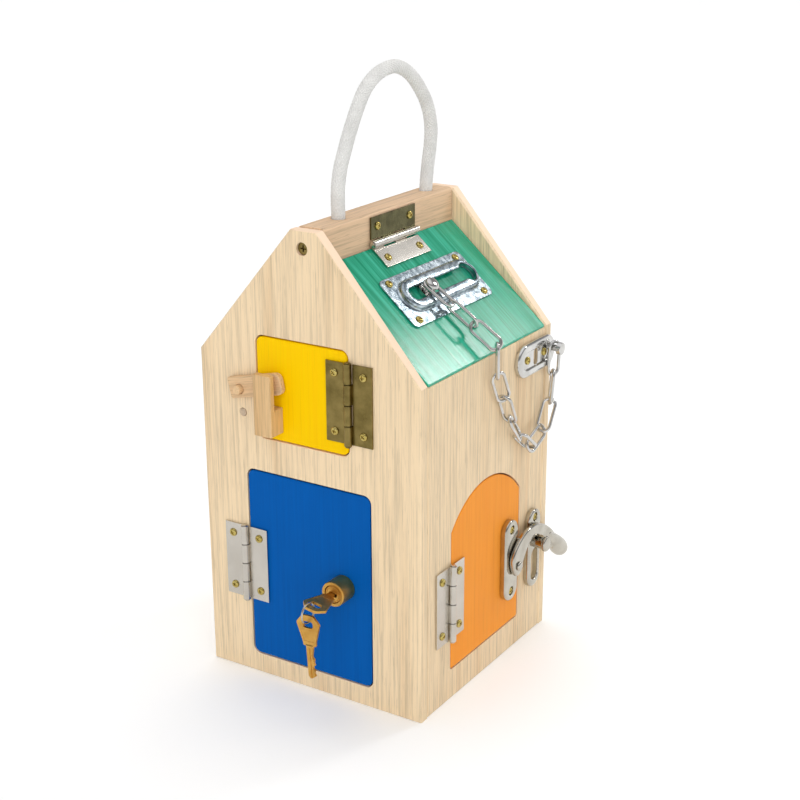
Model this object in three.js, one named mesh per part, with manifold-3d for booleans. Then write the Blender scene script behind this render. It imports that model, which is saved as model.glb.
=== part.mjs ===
import * as THREE from "three";
import { mergeVertices } from "three/addons/utils/BufferGeometryUtils.js";
import Module from "manifold-3d";

// A house-shaped wooden box with four doors, each held by a different latch.
// Millimetres, +Z up, origin in the middle of the underside, front gable towards -Y.

// House
const boxWidth = 178;
const boxDepth = 180;
const eaveHeight = 239;
const topHeight = 331;
const crownWidth = 20.4;
const boardThickness = 9;
const boardEdgeRound = 1.3;
const shelfThickness = 6;
const shelfHeight = 166;
const beamHeight = 31;
const beamRise = 0.6;
const beamEdgeRound = 2.2;
const fitGap = 0.3;
const overrun = 1;
const weldDistance = 0.001;

// Roof panels
const roofDrop = 22.5;
const roofEaveSetback = 0.7;
const roofEaveRise = 1;
const roofThickness = 8;
const roofNose = 1.6;
const roofBeamGap = 0.8;
const roofSideGap = 1;

// Doors
const doorGap = 1;
const doorEdgeRound = 0.8;
const doorCorner = 5;
const blueDoor = { left: -51.6, right: 49.4, bottom: 16, top: 157 };
const yellowDoor = { left: -40.4, right: 33, bottom: 183.5, top: 255.2 };
const orangeDoor = { left: -49.8, right: 45.8, bottom: 23.3, top: 149, spring: 126 };

// Hinges
const leafReach = 18.1;
const leafHeight = 55.6;
const leafThickness = 1.2;
const leafCorner = 0.8;
const knuckleRadius = 2.7;
const barrelLength = 57.2;
const knuckleCount = 4;
const pinRadius = 1.3;
const pinPlay = 0.2;
const pinHeadRadius = 1.9;
const pinHeadHeight = 0.6;
const hingeScrewOut = 11.3;
const hingeScrewSpread = 20.2;
const blueHingePlace = { axis: -54.3, height: 86.3 };
const yellowHingePlace = { axis: 35, height: 220.4 };
const orangeHingePlace = { axis: -53.3, height: 75.6 };
const roofHingePlace = { out: 2.9, up: 2.5 };
const hingeAxisHeight = 2.9;

// Screws
const screwHeadRadius = 2.9;
const screwHeadHeight = 1.5;
const screwRimHeight = 0.5;
const screwShankRadius = 1.4;
const screwLength = 7;
const screwTip = 1.2;
const apexDrop = 12.1;
const apexScrew = {
  across: -1,
  height: topHeight - apexDrop,
  headRadius: 4.1,
  shankRadius: 2,
  length: 26,
};
const apexRecessDepth = 2;
const apexConeHeight = 2.6;

// Drop-bar latch on the yellow door
const barPivot = { across: -51.9, height: 216.8 };
const barTilt = 13;
const barHeight = 15;
const barLift = 1.3;
const barBack = 9;
const barReach = 36;
const barThickness = 4.6;
const barGap = 0.9;
const barRound = 0.8;
const barEndRound = 4.5;
const barBackRound = 1.4;
const barPinRadius = 3.2;
const barPinReach = 9.4;
const pinSkin = 1;
const keeperLeft = -34;
const keeperWidth = 14.6;
const keeperBottom = 190;
const keeperTop = 233;
const keeperFloor = 208;
const keeperDepth = 14;
const keeperPlate = 4.6;
const keeperChamfer = 5.4;
const wallDowel = { across: -53.8, height: 198.4, radius: 2.8 };
const turnedEdge = 0.8;

// Cylinder lock on the blue door
const lockPlace = { across: 27.6, height: 87 };
const lockRadius = 9;
const lockReach = 14;
const lockThreadRadius = 8;
const lockFaceRound = 0.8;
const plugRadius = 6.2;
const plugInset = 0.5;
const nutAcross = 22;
const nutThickness = 3;
const threadTail = 0.4;
const camThickness = 2;
const camWidth = 12;
const camReach = 30;
const camSquare = 6.4;
const tailReach = 1;
const camHub = 7.5;
const camScrewRadius = 4.6;
const camScrewLength = 5;
const keywayDepth = 6.2;

// Keys
const keyThickness = 2;
const bowWidth = 18.8;
const bowLength = 22.4;
const bowWidest = 16.6;
const bowTopHalf = 4.3;
const collarHalf = 5.15;
const collarRise = 2.6;
const bladeWidth = 5.8;
const bladeLength = 24;
const keyStandOff = 4.6;
const bowHoleWidth = 8.1;
const bowHoleHeight = 4.7;
const bowHoleRound = 1.6;
const bowHolePlace = 15.6;
const bitDepth = 1.6;
const bitPitch = 4;
const bitShares = [0.5, 1, 0.4, 0.9];
const bladeTip = 2;
const keyTilt = -10;
const keywayPlay = 0.3;
const ringRadius = 7.1;
const ringWire = 0.8;
const ringAlong = -2.4;
const ringShift = 0.7;
const ringPlay = 0.7;
const spareKeyTilt = 4;

// Hook latch on the orange door
const hookPlate = { across: 27.8, height: 76, half: 31.5, radius: 9.3, thickness: 5, screw: 24.1 };
const hookKeeper = { across: 64, height: 72, half: 31, radius: 9, thickness: 4.6, screw: 25 };
const keeperSlot = { across: 64.6, height: 59, half: 12.5, radius: 5.4 };
const castingRound = 1.3;
const castingSink = 1.8;
const hookPivot = { across: 30.5, height: 71.8 };
const hookThickness = 4;
const hookLength = 70;
const hookOutlineShares = [
  [-0.105, 0.025],
  [-0.095, 0.125],
  [-0.005, 0.23],
  [0.135, 0.305],
  [0.305, 0.33],
  [0.505, 0.29],
  [0.705, 0.175],
  [0.85, 0.04],
  [0.955, -0.075],
  [0.98, -0.155],
  [0.92, -0.175],
  [0.805, -0.11],
  [0.705, -0.025],
  [0.595, 0.09],
  [0.535, 0.145],
  [0.4, 0.185],
  [0.265, 0.17],
  [0.18, 0.11],
  [0.105, 0.005],
  [0.065, -0.09],
  [-0.035, -0.105],
];
const hookEdgeRound = 0.9;
const rivetRadius = 2;
const rivetHeadRadius = 3.4;
const rivetHeadHeight = 1.8;
const stub = { across: 65, height: 77, radius: 4.4, headRadius: 5.8, reach: 15, headDepth: 3.4 };
const clubStart = { across: 82, height: 76 };
const clubTilt = 43;
const clubLength = 30.6;
const clubRadius = 6.7;
const clubShares = [
  [0, -0.2],
  [0.3, -0.17],
  [0.55, 0],
  [0.75, 0.23],
  [0.9, 0.43],
  [1, 0.62],
  [0.99, 0.75],
  [0.85, 0.88],
  [0.5, 0.97],
  [0, 1],
];

// Door chain
const trackCentre = { along: 2.1, slope: 46.2 };
const trackLength = 103.6;
const trackWidth = 40.5;
const trackThickness = 1.2;
const trackCorner = 4.5;
const ridgeStart = -40;
const ridgeEnd = 50.5;
const ridgeHalf = 12.2;
const ridgeHeight = 5.4;
const ridgeRound = 1.8;
const ridgeSlope = 45;
const slotHalf = 5;
const slotStart = -34.5;
const keyholeAlong = 40.6;
const keyholeRadius = 7.6;
const cavityHalf = 7.6;
const cavityHeight = 3.4;
const trackScrewAlong = 43.1;
const trackScrewSlope = 15.8;
const sliderAlong = -12;
const sliderFootRadius = 6.9;
const sliderFootHeight = 2.4;
const sliderShankRadius = 2.5;
const sliderHeadRadius = 5.3;
const sliderHeadHeight = 2.8;
const crownShare = 0.7;
const crownRiseShare = 0.8;
const anchorDrop = 17.3;
const anchorPlace = { across: 61.5, height: eaveHeight - anchorDrop };
const anchorHalf = 27.5;
const anchorRadius = 12;
const anchorThickness = 4.2;
const anchorRound = 1.6;
const anchorRecess = { half: 20.5, radius: 6.4, depth: 1.6 };
const anchorSlot = { half: 6.1, radius: 3.1 };
const anchorScrewSpread = 12.6;
const studDrop = 15.5;
const anchorStud = {
  across: 81.5,
  height: eaveHeight - studDrop,
  radius: 2.4,
  headRadius: 4.6,
  seat: 10.2,
  reach: 13.8,
};
const wireRadius = 1.25;
const linkPitch = 21.2;
const linkHalfWidth = 4.8;
const linkGap = 0.9;
const bottomPlay = 1.4;
const eaveAlong = -3;
const eaveOut = 10;
const chainPlane = 7.2;
const slopedRolls = [0, 105, 45];
const frontAngles = [-88, -62, -62, -48, -38];
const backAngles = [19, 57, 78, 84];
const frontRolls = [-35, 30, 90, 150, 75];
const backRolls = [-18, -80, 35, -20];

// Rope handle
const ropeRadius = 4.7;
const ropeSteps = 40;
const ropeSides = 8;
const ropeHolePlay = 0.5;
const ropeRoute = [
  [-49.3, 331],
  [-49.2, 350],
  [-46.4, 363],
  [-40.5, 375.5],
  [-33.8, 387.5],
  [-26, 399.5],
  [-16.6, 411],
  [-4, 419],
  [9.5, 422.6],
  [21, 423],
  [32.4, 419.8],
  [43, 413.6],
  [53, 404.6],
  [61, 395],
  [66, 385],
  [68.2, 373.5],
  [67, 362.5],
  [64, 350],
  [61, 331],
];
const knotRadius = 9;
const knotHeight = 15;
const knotEndShare = 0.6;

// Colours and finishes
const shades = {
  wood: [0xe6cfa8, 0.6, 0],
  beamWood: [0xdcb892, 0.6, 0],
  blue: [0x0053a0, 0.35, 0],
  yellow: [0xf7c40c, 0.35, 0],
  orange: [0xf59a3c, 0.35, 0],
  green: [0x0d9460, 0.35, 0],
  nickel: [0xc2bfba, 0.35, 1],
  chrome: [0xd0d2d4, 0.12, 1],
  brass: [0xc79a4b, 0.3, 1],
  bronze: [0x55463a, 0.4, 1],
  rope: [0xd8cfbd, 0.95, 0],
};

const degree = Math.PI / 180;
const wireSides = 6;
const few = 8;
const some = 10;
const many = 14;
const round = 20;
const corner = 2;
const end = 4;

const wasm = await Module();
wasm.setup();

// The closed body of a three.js geometry
function solid(geometry) {
  const bare = geometry.index ? geometry.toNonIndexed() : geometry.clone();
  bare.deleteAttribute("normal");
  bare.deleteAttribute("uv");
  const merged = mergeVertices(bare, weldDistance);
  const triVerts = new Uint32Array(merged.index.array);
  const vertProperties = merged.attributes.position.array;
  return new wasm.Manifold(new wasm.Mesh({ numProp: 3, vertProperties, triVerts }));
}

function join(...solids) {
  return solids.flat().reduce((sum, next) => sum.add(next));
}

function cut(body, ...tools) {
  return tools.flat().reduce((rest, tool) => rest.subtract(tool), body);
}

// A named piece of one material in a group
function piece(group, name, body, shade) {
  const made = body.getMesh();
  const geometry = new THREE.BufferGeometry();
  geometry.setAttribute("position", new THREE.BufferAttribute(made.vertProperties, 3));
  geometry.setIndex(new THREE.BufferAttribute(made.triVerts, 1));
  geometry.computeVertexNormals();
  const [color, roughness, metalness] = shades[shade];
  const material = new THREE.MeshStandardMaterial({ color, roughness, metalness });
  const mesh = new THREE.Mesh(geometry, material);
  mesh.name = name;
  group.add(mesh);
}

// A group with its own axes: across, up and out
function frame(parent, origin, across, up, out) {
  const group = new THREE.Group();
  const basis = new THREE.Matrix4().makeBasis(across, up, out);
  group.quaternion.setFromRotationMatrix(basis);
  group.position.copy(origin);
  parent.add(group);
  return group;
}

function polygon(points) {
  return new THREE.Shape(points.map(([x, y]) => new THREE.Vector2(x, y)));
}

function roundedRect(left, right, bottom, top, radius, leftRadius = radius) {
  const shape = new THREE.Shape();
  const start = left + leftRadius;
  shape.moveTo(start, bottom);
  shape.absarc(right - radius, bottom + radius, radius, -Math.PI / 2, 0);
  shape.absarc(right - radius, top - radius, radius, 0, Math.PI / 2);
  shape.absarc(start, top - leftRadius, leftRadius, Math.PI / 2, Math.PI);
  shape.absarc(start, bottom + leftRadius, leftRadius, Math.PI, Math.PI * 1.5);
  return shape;
}

function doorShape(door, grow) {
  const radius = doorCorner + grow;
  return roundedRect(door.left - grow, door.right + grow, door.bottom - grow, door.top + grow, radius);
}

// An oblong with round ends, upright or lying
function oblong(across, height, half, radius, upright) {
  const shape = new THREE.Shape();
  const reach = half - radius;
  if (upright) {
    shape.absarc(across, height + reach, radius, 0, Math.PI);
    shape.absarc(across, height - reach, radius, Math.PI, Math.PI * 2);
  } else {
    shape.absarc(across + reach, height, radius, -Math.PI / 2, Math.PI / 2);
    shape.absarc(across - reach, height, radius, Math.PI / 2, Math.PI * 1.5);
  }
  return shape;
}

// The outline of the arched door, or of its opening when grown
function archShape(door, grow) {
  const middle = (door.left + door.right) / 2;
  const span = (door.right - door.left) / 2;
  const rise = door.top - door.spring;
  const arch = (span * span + rise * rise) / (2 * rise);
  const centre = door.top - arch;
  const radius = arch + grow;
  const half = span + grow;
  const turn = 2 * doorEdgeRound + grow;
  const start = Math.acos(half / radius);
  const shape = new THREE.Shape();
  shape.moveTo(middle - half + turn, door.bottom - grow);
  shape.absarc(middle + half - turn, door.bottom - grow + turn, turn, -Math.PI / 2, 0);
  shape.absarc(middle, centre, radius, start, Math.PI - start);
  shape.absarc(middle - half + turn, door.bottom - grow + turn, turn, Math.PI, Math.PI * 1.5);
  return shape;
}

// A flat piece between two heights, its edges rounded over
function plate(shape, low, high, edge, curveSegments) {
  const geometry = new THREE.ExtrudeGeometry(shape, {
    depth: high - low - 2 * edge,
    bevelEnabled: edge > 0,
    bevelThickness: edge,
    bevelSize: edge,
    bevelOffset: -edge,
    bevelSegments: 1,
    curveSegments,
  });
  geometry.translate(0, 0, low + edge);
  return solid(geometry);
}

// A round bar from one point to another
function rod(radius, from, to, sides) {
  const start = new THREE.Vector3(...from);
  const run = new THREE.Vector3(...to).sub(start);
  const geometry = new THREE.CylinderGeometry(radius, radius, run.length(), sides);
  const up = new THREE.Vector3(0, 1, 0);
  geometry.applyQuaternion(new THREE.Quaternion().setFromUnitVectors(up, run.clone().normalize()));
  geometry.translate(...start.addScaledVector(run, 1 / 2).toArray());
  return solid(geometry);
}

// A turned piece whose profile of radius and height starts and ends on its axis
function turned(profile, across, height, sides) {
  const points = profile.map(([radius, rise]) => new THREE.Vector2(radius, rise));
  const geometry = new THREE.LatheGeometry(points, sides);
  geometry.rotateX(Math.PI / 2);
  geometry.translate(across, height, 0);
  return solid(geometry);
}

// A round-headed wood screw whose head stands on a surface at this height
function screw(across, height, seat) {
  const tip = seat - screwLength - screwHeadHeight;
  const profile = [
    [0, tip],
    [screwShankRadius, tip + screwTip],
    [screwShankRadius, seat],
    [screwHeadRadius, seat],
    [screwHeadRadius, seat + screwRimHeight],
    [screwHeadRadius / 2, seat + screwHeadHeight - screwRimHeight / 2],
    [0, seat + screwHeadHeight],
  ];
  return turned(profile, across, height, few);
}

// The hole that a screw needs in the wood
function pilot(across, height) {
  const radius = screwShankRadius + fitGap;
  return rod(radius, [across, height, overrun], [across, height, -screwLength], few);
}

const half = { width: boxWidth / 2, depth: boxDepth / 2, crown: crownWidth / 2 };
const axes = {
  x: new THREE.Vector3(1, 0, 0),
  y: new THREE.Vector3(0, 1, 0),
  z: new THREE.Vector3(0, 0, 1),
};
const roofRun = half.width - roofEaveSetback - half.crown;
const roofTop = topHeight - roofDrop;
const roofFall = roofTop - eaveHeight - roofEaveRise;
const roofAngle = Math.atan2(roofFall, roofRun);
const upSlope = new THREE.Vector3(-Math.cos(roofAngle), 0, Math.sin(roofAngle));
const offSlope = new THREE.Vector3(Math.sin(roofAngle), 0, Math.cos(roofAngle));
const innerDepth = half.depth - boardThickness;
const innerWidth = half.width - boardThickness;
const wallTop = eaveHeight + roofEaveRise - roofNose - fitGap;

const box = new THREE.Group();
box.name = "latch_box";
const frontOrigin = new THREE.Vector3(0, -half.depth, 0);
const front = frame(box, frontOrigin, axes.x, axes.z, axes.y.clone().negate());
const side = frame(box, new THREE.Vector3(half.width, 0, 0), axes.y, axes.z, axes.x);
const roof = frame(box, new THREE.Vector3(half.crown, 0, roofTop), axes.y, upSlope, offSlope);

// Hinge leaf on a surface, barrel along its second axis
function leaf(axisHeight) {
  const knuckle = barrelLength / knuckleCount;
  const inner = knuckleRadius + fitGap;
  const edge = leafHeight / 2;
  const top = fitGap + leafThickness;
  const outline = roundedRect(inner, leafReach, -edge, edge, leafCorner);
  const parts = [plate(outline, fitGap, top, 0, 1)];
  const bores = [];
  for (let i = 0; i < knuckleCount; i += 2) {
    const low = -barrelLength / 2 + i * knuckle + fitGap / 2;
    const high = low + knuckle - fitGap;
    const tabLow = Math.max(low, -edge);
    const tab = polygon([[0, tabLow], [inner + overrun, tabLow], [inner + overrun, high], [0, high]]);
    parts.push(plate(tab, fitGap, top, 0, 1));
    parts.push(rod(knuckleRadius, [0, low, axisHeight], [0, high, axisHeight], some));
    const start = [0, low - overrun, axisHeight];
    bores.push(rod(pinRadius + pinPlay, start, [0, high + overrun, axisHeight], few));
  }
  for (const height of [-hingeScrewSpread, hingeScrewSpread]) {
    parts.push(screw(hingeScrewOut, height, top));
  }
  return cut(join(parts), bores);
}

function hingePin(axisHeight) {
  const tip = barrelLength / 2 + fitGap;
  const shaft = rod(pinRadius, [0, -tip, axisHeight], [0, tip, axisHeight], few);
  const heads = [-1, 1].map((way) => {
    const top = tip + pinHeadHeight;
    return rod(pinHeadRadius, [0, way * tip, axisHeight], [0, way * top, axisHeight], few);
  });
  return join(shaft, heads);
}

// A hinge on one face: its fixed leaf, its door leaf on the given side and its pin
function doorHinge(parent, name, place, doorSide, shade) {
  const origin = new THREE.Vector3(place.axis, place.height, 0);
  for (const [part, way] of [["frame_leaf", -doorSide], ["door_leaf", doorSide]]) {
    const across = axes.x.clone().multiplyScalar(way);
    const up = axes.y.clone().multiplyScalar(way);
    const group = frame(parent, origin, across, up, axes.z);
    piece(group, `${name}_${part}`, leaf(hingeAxisHeight), shade);
  }
  piece(frame(parent, origin, axes.x, axes.y, axes.z), `${name}_pin`, hingePin(hingeAxisHeight), shade);
}

function hingePilots(place) {
  const spots = [];
  for (const way of [-1, 1]) {
    for (const rise of [-hingeScrewSpread, hingeScrewSpread]) {
      spots.push(pilot(place.axis + way * hingeScrewOut, place.height + rise));
    }
  }
  return spots;
}

// Gables, walls, floor, shelf and beam
const gableOutline = polygon([
  [-half.width, 0],
  [half.width, 0],
  [half.width, eaveHeight],
  [half.crown, topHeight],
  [-half.crown, topHeight],
  [-half.width, eaveHeight],
]);
const apexSeat = -apexRecessDepth;
const apexNeck = apexSeat - apexConeHeight;
const apexTip = apexSeat - apexScrew.length;
const apexSpot = (depth) => [apexScrew.across, apexScrew.height, depth];
const apexShank = apexScrew.shankRadius + fitGap;
const apexShankHole = rod(apexShank, apexSpot(overrun), apexSpot(apexTip - fitGap), some);
const apexHeadHole = rod(apexScrew.headRadius + fitGap, apexSpot(overrun), apexSpot(apexNeck), many);
const barPinSpot = (depth) => [barPivot.across, barPivot.height, depth];
const pinBottom = pinSkin - boardThickness;
const barPinHole = rod(barPinRadius + fitGap, barPinSpot(overrun), barPinSpot(pinBottom - fitGap), many);
const dowelSpot = (depth) => [wallDowel.across, wallDowel.height, depth];
const dowelHole = rod(wallDowel.radius + fitGap, dowelSpot(overrun), dowelSpot(pinBottom - fitGap), some);
const gableBoard = plate(gableOutline, -boardThickness, 0, boardEdgeRound, 1);
const opening = (shape, curve) => plate(shape, -boardThickness - overrun, overrun, 0, curve);
piece(
  front,
  "front_gable",
  cut(
    gableBoard,
    opening(doorShape(blueDoor, doorGap), corner),
    opening(doorShape(yellowDoor, doorGap), corner),
    hingePilots(blueHingePlace),
    hingePilots(yellowHingePlace),
    apexShankHole,
    apexHeadHole,
    barPinHole,
    dowelHole,
  ),
  "wood",
);
const backOrigin = new THREE.Vector3(0, innerDepth, 0);
const back = frame(box, backOrigin, axes.x, axes.z, axes.y.clone().negate());
piece(back, "back_gable", gableBoard, "wood");

const wallEnd = innerDepth - fitGap;
const wallBoard = plate(
  polygon([[-wallEnd, 0], [wallEnd, 0], [wallEnd, wallTop], [-wallEnd, wallTop]]),
  -boardThickness,
  0,
  boardEdgeRound,
  1,
);
const hookDoorScrews = [-hookPlate.screw, hookPlate.screw].map((rise) => [
  hookPlate.across,
  hookPlate.height + rise,
]);
const keeperScrewSpot = [hookKeeper.across, hookKeeper.height + hookKeeper.screw];
const anchorScrews = [-anchorScrewSpread, anchorScrewSpread].map((shift) => [
  anchorPlace.across + shift,
  anchorPlace.height,
]);
piece(
  side,
  "right_wall",
  cut(
    wallBoard,
    opening(archShape(orangeDoor, doorGap), end),
    hingePilots(orangeHingePlace),
    [keeperScrewSpot, ...anchorScrews].map(([across, height]) => pilot(across, height)),
  ),
  "wood",
);
const leftOrigin = new THREE.Vector3(-innerWidth, 0, 0);
piece(frame(box, leftOrigin, axes.y, axes.z, axes.x), "left_wall", wallBoard, "wood");

const floorWide = innerWidth - fitGap;
const floorShape = polygon([
  [-floorWide, -wallEnd],
  [floorWide, -wallEnd],
  [floorWide, wallEnd],
  [-floorWide, wallEnd],
]);
piece(box, "base_panel", plate(floorShape, 0, boardThickness, doorEdgeRound, 1), "wood");
const shelfTop = shelfHeight + shelfThickness;
piece(box, "mid_shelf", plate(floorShape, shelfHeight, shelfTop, doorEdgeRound, 1), "wood");

const beamTop = topHeight + beamRise;
const beamBottom = beamTop - beamHeight;
const beamSection = roundedRect(-half.crown, half.crown, beamBottom, beamTop, beamEdgeRound);
const ropeEnds = [ropeRoute[0], ropeRoute[ropeRoute.length - 1]];
const ropeHoles = ropeEnds.map(([along]) => {
  const depth = -half.depth - along;
  const radius = ropeRadius + ropeHolePlay;
  return rod(radius, [0, beamBottom - overrun, depth], [0, beamTop + overrun, depth], many);
});
const beamFront = -boardThickness - fitGap;
const roofHingeUp = roofTop + roofHingePlace.up;
const beamPilots = [-hingeScrewSpread, hingeScrewSpread].map((along) => {
  const depth = -half.depth - along;
  const height = roofHingeUp + hingeScrewOut;
  const inner = [half.crown - screwLength, height, depth];
  return rod(screwShankRadius + fitGap, inner, [half.crown + overrun, height, depth], few);
});
piece(
  front,
  "ridge_beam",
  cut(
    plate(beamSection, beamFront - 2 * wallEnd, beamFront, 0, 1),
    ropeHoles,
    beamPilots,
    apexShankHole,
  ),
  "beamWood",
);

// Roof boards
const eaveX = half.width - roofEaveSetback;
const slopeFall = roofFall / roofRun;
const topAt = (x) => roofTop - (x - half.crown) * slopeFall;
const boardFall = roofThickness / Math.cos(roofAngle);
const noseBottom = wallTop + fitGap;
const restStart = half.crown + (roofTop - boardFall - noseBottom) / slopeFall;
const roofEdge = half.crown + roofBeamGap;
const roofSection = [
  [roofEdge, topAt(roofEdge)],
  [roofEdge, topAt(roofEdge) - boardFall],
  [restStart, noseBottom],
  [eaveX, noseBottom],
  [eaveX, noseBottom + roofNose],
];
const roofSpan = half.depth - boardThickness - roofSideGap;
const roofBack = -half.depth - roofSpan;
const roofBoard = plate(polygon(roofSection), roofBack, roofBack + 2 * roofSpan, 0, 1);
const mirrored = roofSection.map(([x, z]) => [-x, z]).reverse();
piece(front, "left_roof_panel", plate(polygon(mirrored), roofBack, roofBack + 2 * roofSpan, 0, 1), "wood");

// The roof door's own frame, turned into the front frame
const hingeFoot = roofHingePlace.out * Math.sin(roofAngle) + roofHingePlace.up * Math.cos(roofAngle);
const hingeSlope = roofHingePlace.out * Math.cos(roofAngle) - roofHingePlace.up * Math.sin(roofAngle);
const trackScrews = [];
for (const way of [-1, 1]) {
  for (const turn of [-1, 1]) {
    const along = trackCentre.along + way * trackScrewAlong;
    trackScrews.push([along, -trackCentre.slope + turn * trackScrewSlope]);
  }
}
const panelPilots = [-hingeScrewSpread, hingeScrewSpread].map((along) => [
  along,
  -hingeSlope - hingeScrewOut,
]);
const toRoof = new THREE.Matrix4().copy(matrixOf(roof)).invert().multiply(matrixOf(front));

function matrixOf(group) {
  group.updateMatrix();
  return group.matrix;
}

function moved(body, matrix) {
  return body.transform(matrix.elements);
}

piece(
  roof,
  "green_roof_door",
  cut(
    moved(roofBoard, toRoof),
    [...trackScrews, ...panelPilots].map(([across, height]) => pilot(across, height)),
  ),
  "green",
);

// Roof hinge: one leaf on the beam, one on the roof door
const roofHingeOrigin = new THREE.Vector3(half.crown, 0, roofHingeUp);
const beamLeafFrame = frame(box, roofHingeOrigin, axes.z, axes.y.clone().negate(), axes.x);
piece(beamLeafFrame, "roof_hinge_frame_leaf", leaf(roofHingePlace.out), "bronze");
piece(beamLeafFrame, "roof_hinge_pin", hingePin(roofHingePlace.out), "nickel");
const panelLeafFrame = frame(
  roof,
  new THREE.Vector3(0, -hingeSlope, 0),
  axes.y.clone().negate(),
  axes.x,
  axes.z,
);
piece(panelLeafFrame, "roof_hinge_door_leaf", leaf(hingeFoot), "nickel");

// Doors with their hinges
const lockSpot = (depth) => [lockPlace.across, lockPlace.height, depth];
piece(
  front,
  "blue_door",
  cut(
    plate(doorShape(blueDoor, 0), -boardThickness, 0, doorEdgeRound, corner),
    hingePilots(blueHingePlace),
    rod(lockThreadRadius + fitGap, lockSpot(-boardThickness - overrun), lockSpot(overrun), round),
  ),
  "blue",
);
doorHinge(front, "blue_hinge", blueHingePlace, 1, "nickel");

const keeperRight = keeperLeft + keeperWidth;
const yellowBoard = plate(doorShape(yellowDoor, 0), -boardThickness, 0, doorEdgeRound, corner);
piece(front, "yellow_door", cut(yellowBoard, hingePilots(yellowHingePlace)), "yellow");
doorHinge(front, "yellow_hinge", yellowHingePlace, -1, "bronze");

piece(
  side,
  "orange_door",
  cut(
    plate(archShape(orangeDoor, 0), -boardThickness, 0, doorEdgeRound, end),
    hingePilots(orangeHingePlace),
    hookDoorScrews.map(([across, height]) => pilot(across, height)),
  ),
  "orange",
);
doorHinge(side, "orange_hinge", orangeHingePlace, 1, "nickel");

// Drop-bar latch
const lean = barTilt * degree;
const barFrame = frame(
  front,
  new THREE.Vector3(barPivot.across, barPivot.height, 0),
  new THREE.Vector3(Math.cos(lean), Math.sin(lean), 0),
  new THREE.Vector3(-Math.sin(lean), Math.cos(lean), 0),
  axes.z,
);
const barLow = barLift - barHeight / 2;
const barShape = roundedRect(-barBack, barReach, barLow, barLow + barHeight, barEndRound, barBackRound);
const barTop = barGap + barThickness;
const barHole = rod(barPinRadius + fitGap, [0, 0, barGap - overrun], [0, 0, barTop + overrun], many);
piece(barFrame, "latch_bar", cut(plate(barShape, barGap, barTop, barRound, corner), barHole), "wood");

// A short round peg in the front, from the bottom of its hole to its end
function peg(name, spot, radius, end, edge) {
  const profile = [
    [0, pinBottom],
    [radius, pinBottom],
    [radius, end - edge],
    [radius - edge, end],
    [0, end],
  ];
  piece(front, name, turned(profile, spot.across, spot.height, many), "wood");
}
peg("latch_pin", barPivot, barPinRadius, barPinReach, turnedEdge);
peg("wall_dowel", wallDowel, wallDowel.radius, fitGap, fitGap);

const keeperBlock = roundedRect(keeperLeft, keeperRight, keeperBottom, keeperFloor, turnedEdge / 2);
const keeperFace = polygon([
  [keeperLeft, keeperBottom],
  [keeperRight, keeperBottom],
  [keeperRight, keeperTop - keeperChamfer],
  [keeperRight - keeperChamfer, keeperTop],
  [keeperLeft, keeperTop],
]);
piece(
  front,
  "latch_keeper",
  join(
    plate(keeperBlock, fitGap, keeperDepth - turnedEdge, 0, corner),
    plate(keeperFace, keeperDepth - keeperPlate, keeperDepth, turnedEdge, 1),
  ),
  "wood",
);

// Apex screw, sunk in the gable
const apexProfile = [
  [0, apexTip],
  [apexScrew.shankRadius, apexTip + 2 * screwTip],
  [apexScrew.shankRadius, apexNeck],
  [apexScrew.headRadius, apexSeat],
  [0, apexSeat],
];
piece(front, "apex_screw", turned(apexProfile, apexScrew.across, apexScrew.height, some), "brass");

// Cylinder lock with its nut, cam and cam screw
const turn = keyTilt * degree;
const lockFrame = frame(
  front,
  new THREE.Vector3(lockPlace.across, lockPlace.height, 0),
  new THREE.Vector3(Math.cos(turn), Math.sin(turn), 0),
  new THREE.Vector3(-Math.sin(turn), Math.cos(turn), 0),
  axes.z,
);
const nutTop = -boardThickness - fitGap;
const lockTail = nutTop - nutThickness - threadTail;
const camTop = lockTail - fitGap;
const tailEnd = camTop - camThickness - tailReach;
const plugFace = lockReach - plugInset;
const barrelProfile = [
  [0, lockTail],
  [lockThreadRadius, lockTail],
  [lockThreadRadius, fitGap],
  [lockRadius, fitGap],
  [lockRadius, lockReach - lockFaceRound],
  [lockRadius - lockFaceRound, lockReach],
  [0, lockReach],
];
const through = (radius, low, high, sides) => {
  return rod(radius, [0, 0, low - overrun], [0, 0, high + overrun], sides);
};
const barrelBore = through(plugRadius + fitGap, lockTail, lockReach, round);
piece(lockFrame, "lock_barrel", cut(turned(barrelProfile, 0, 0, round), barrelBore), "brass");

const square = (side) => roundedRect(-side / 2, side / 2, -side / 2, side / 2, fitGap);
const keywayShape = roundedRect(
  -bladeWidth / 2 - keywayPlay,
  bladeWidth / 2 + keywayPlay,
  -keyThickness / 2 - keywayPlay,
  keyThickness / 2 + keywayPlay,
  keywayPlay,
);
const camScrewHole = rod(
  screwShankRadius + fitGap,
  [0, 0, tailEnd - overrun],
  [0, 0, tailEnd + camScrewLength + fitGap],
  few,
);
piece(
  lockFrame,
  "lock_plug",
  cut(
    join(
      rod(plugRadius, [0, 0, lockTail], [0, 0, plugFace], round),
      plate(square(camSquare), tailEnd, lockTail + overrun, 0, 1),
    ),
    plate(keywayShape, -keywayDepth, plugFace + overrun, 0, 1),
    camScrewHole,
  ),
  "brass",
);
const nutBody = rod(nutAcross / 2 / Math.cos(Math.PI / 6), [0, 0, nutTop - nutThickness], [0, 0, nutTop], 6);
const nutHole = through(lockThreadRadius + fitGap, nutTop - nutThickness, nutTop, round);
piece(lockFrame, "lock_nut", cut(nutBody, nutHole), "brass");
const camArm = roundedRect(-camWidth / 2, camWidth / 2, -camReach, 0, camWidth / 3);
const camBottom = camTop - camThickness;
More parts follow.
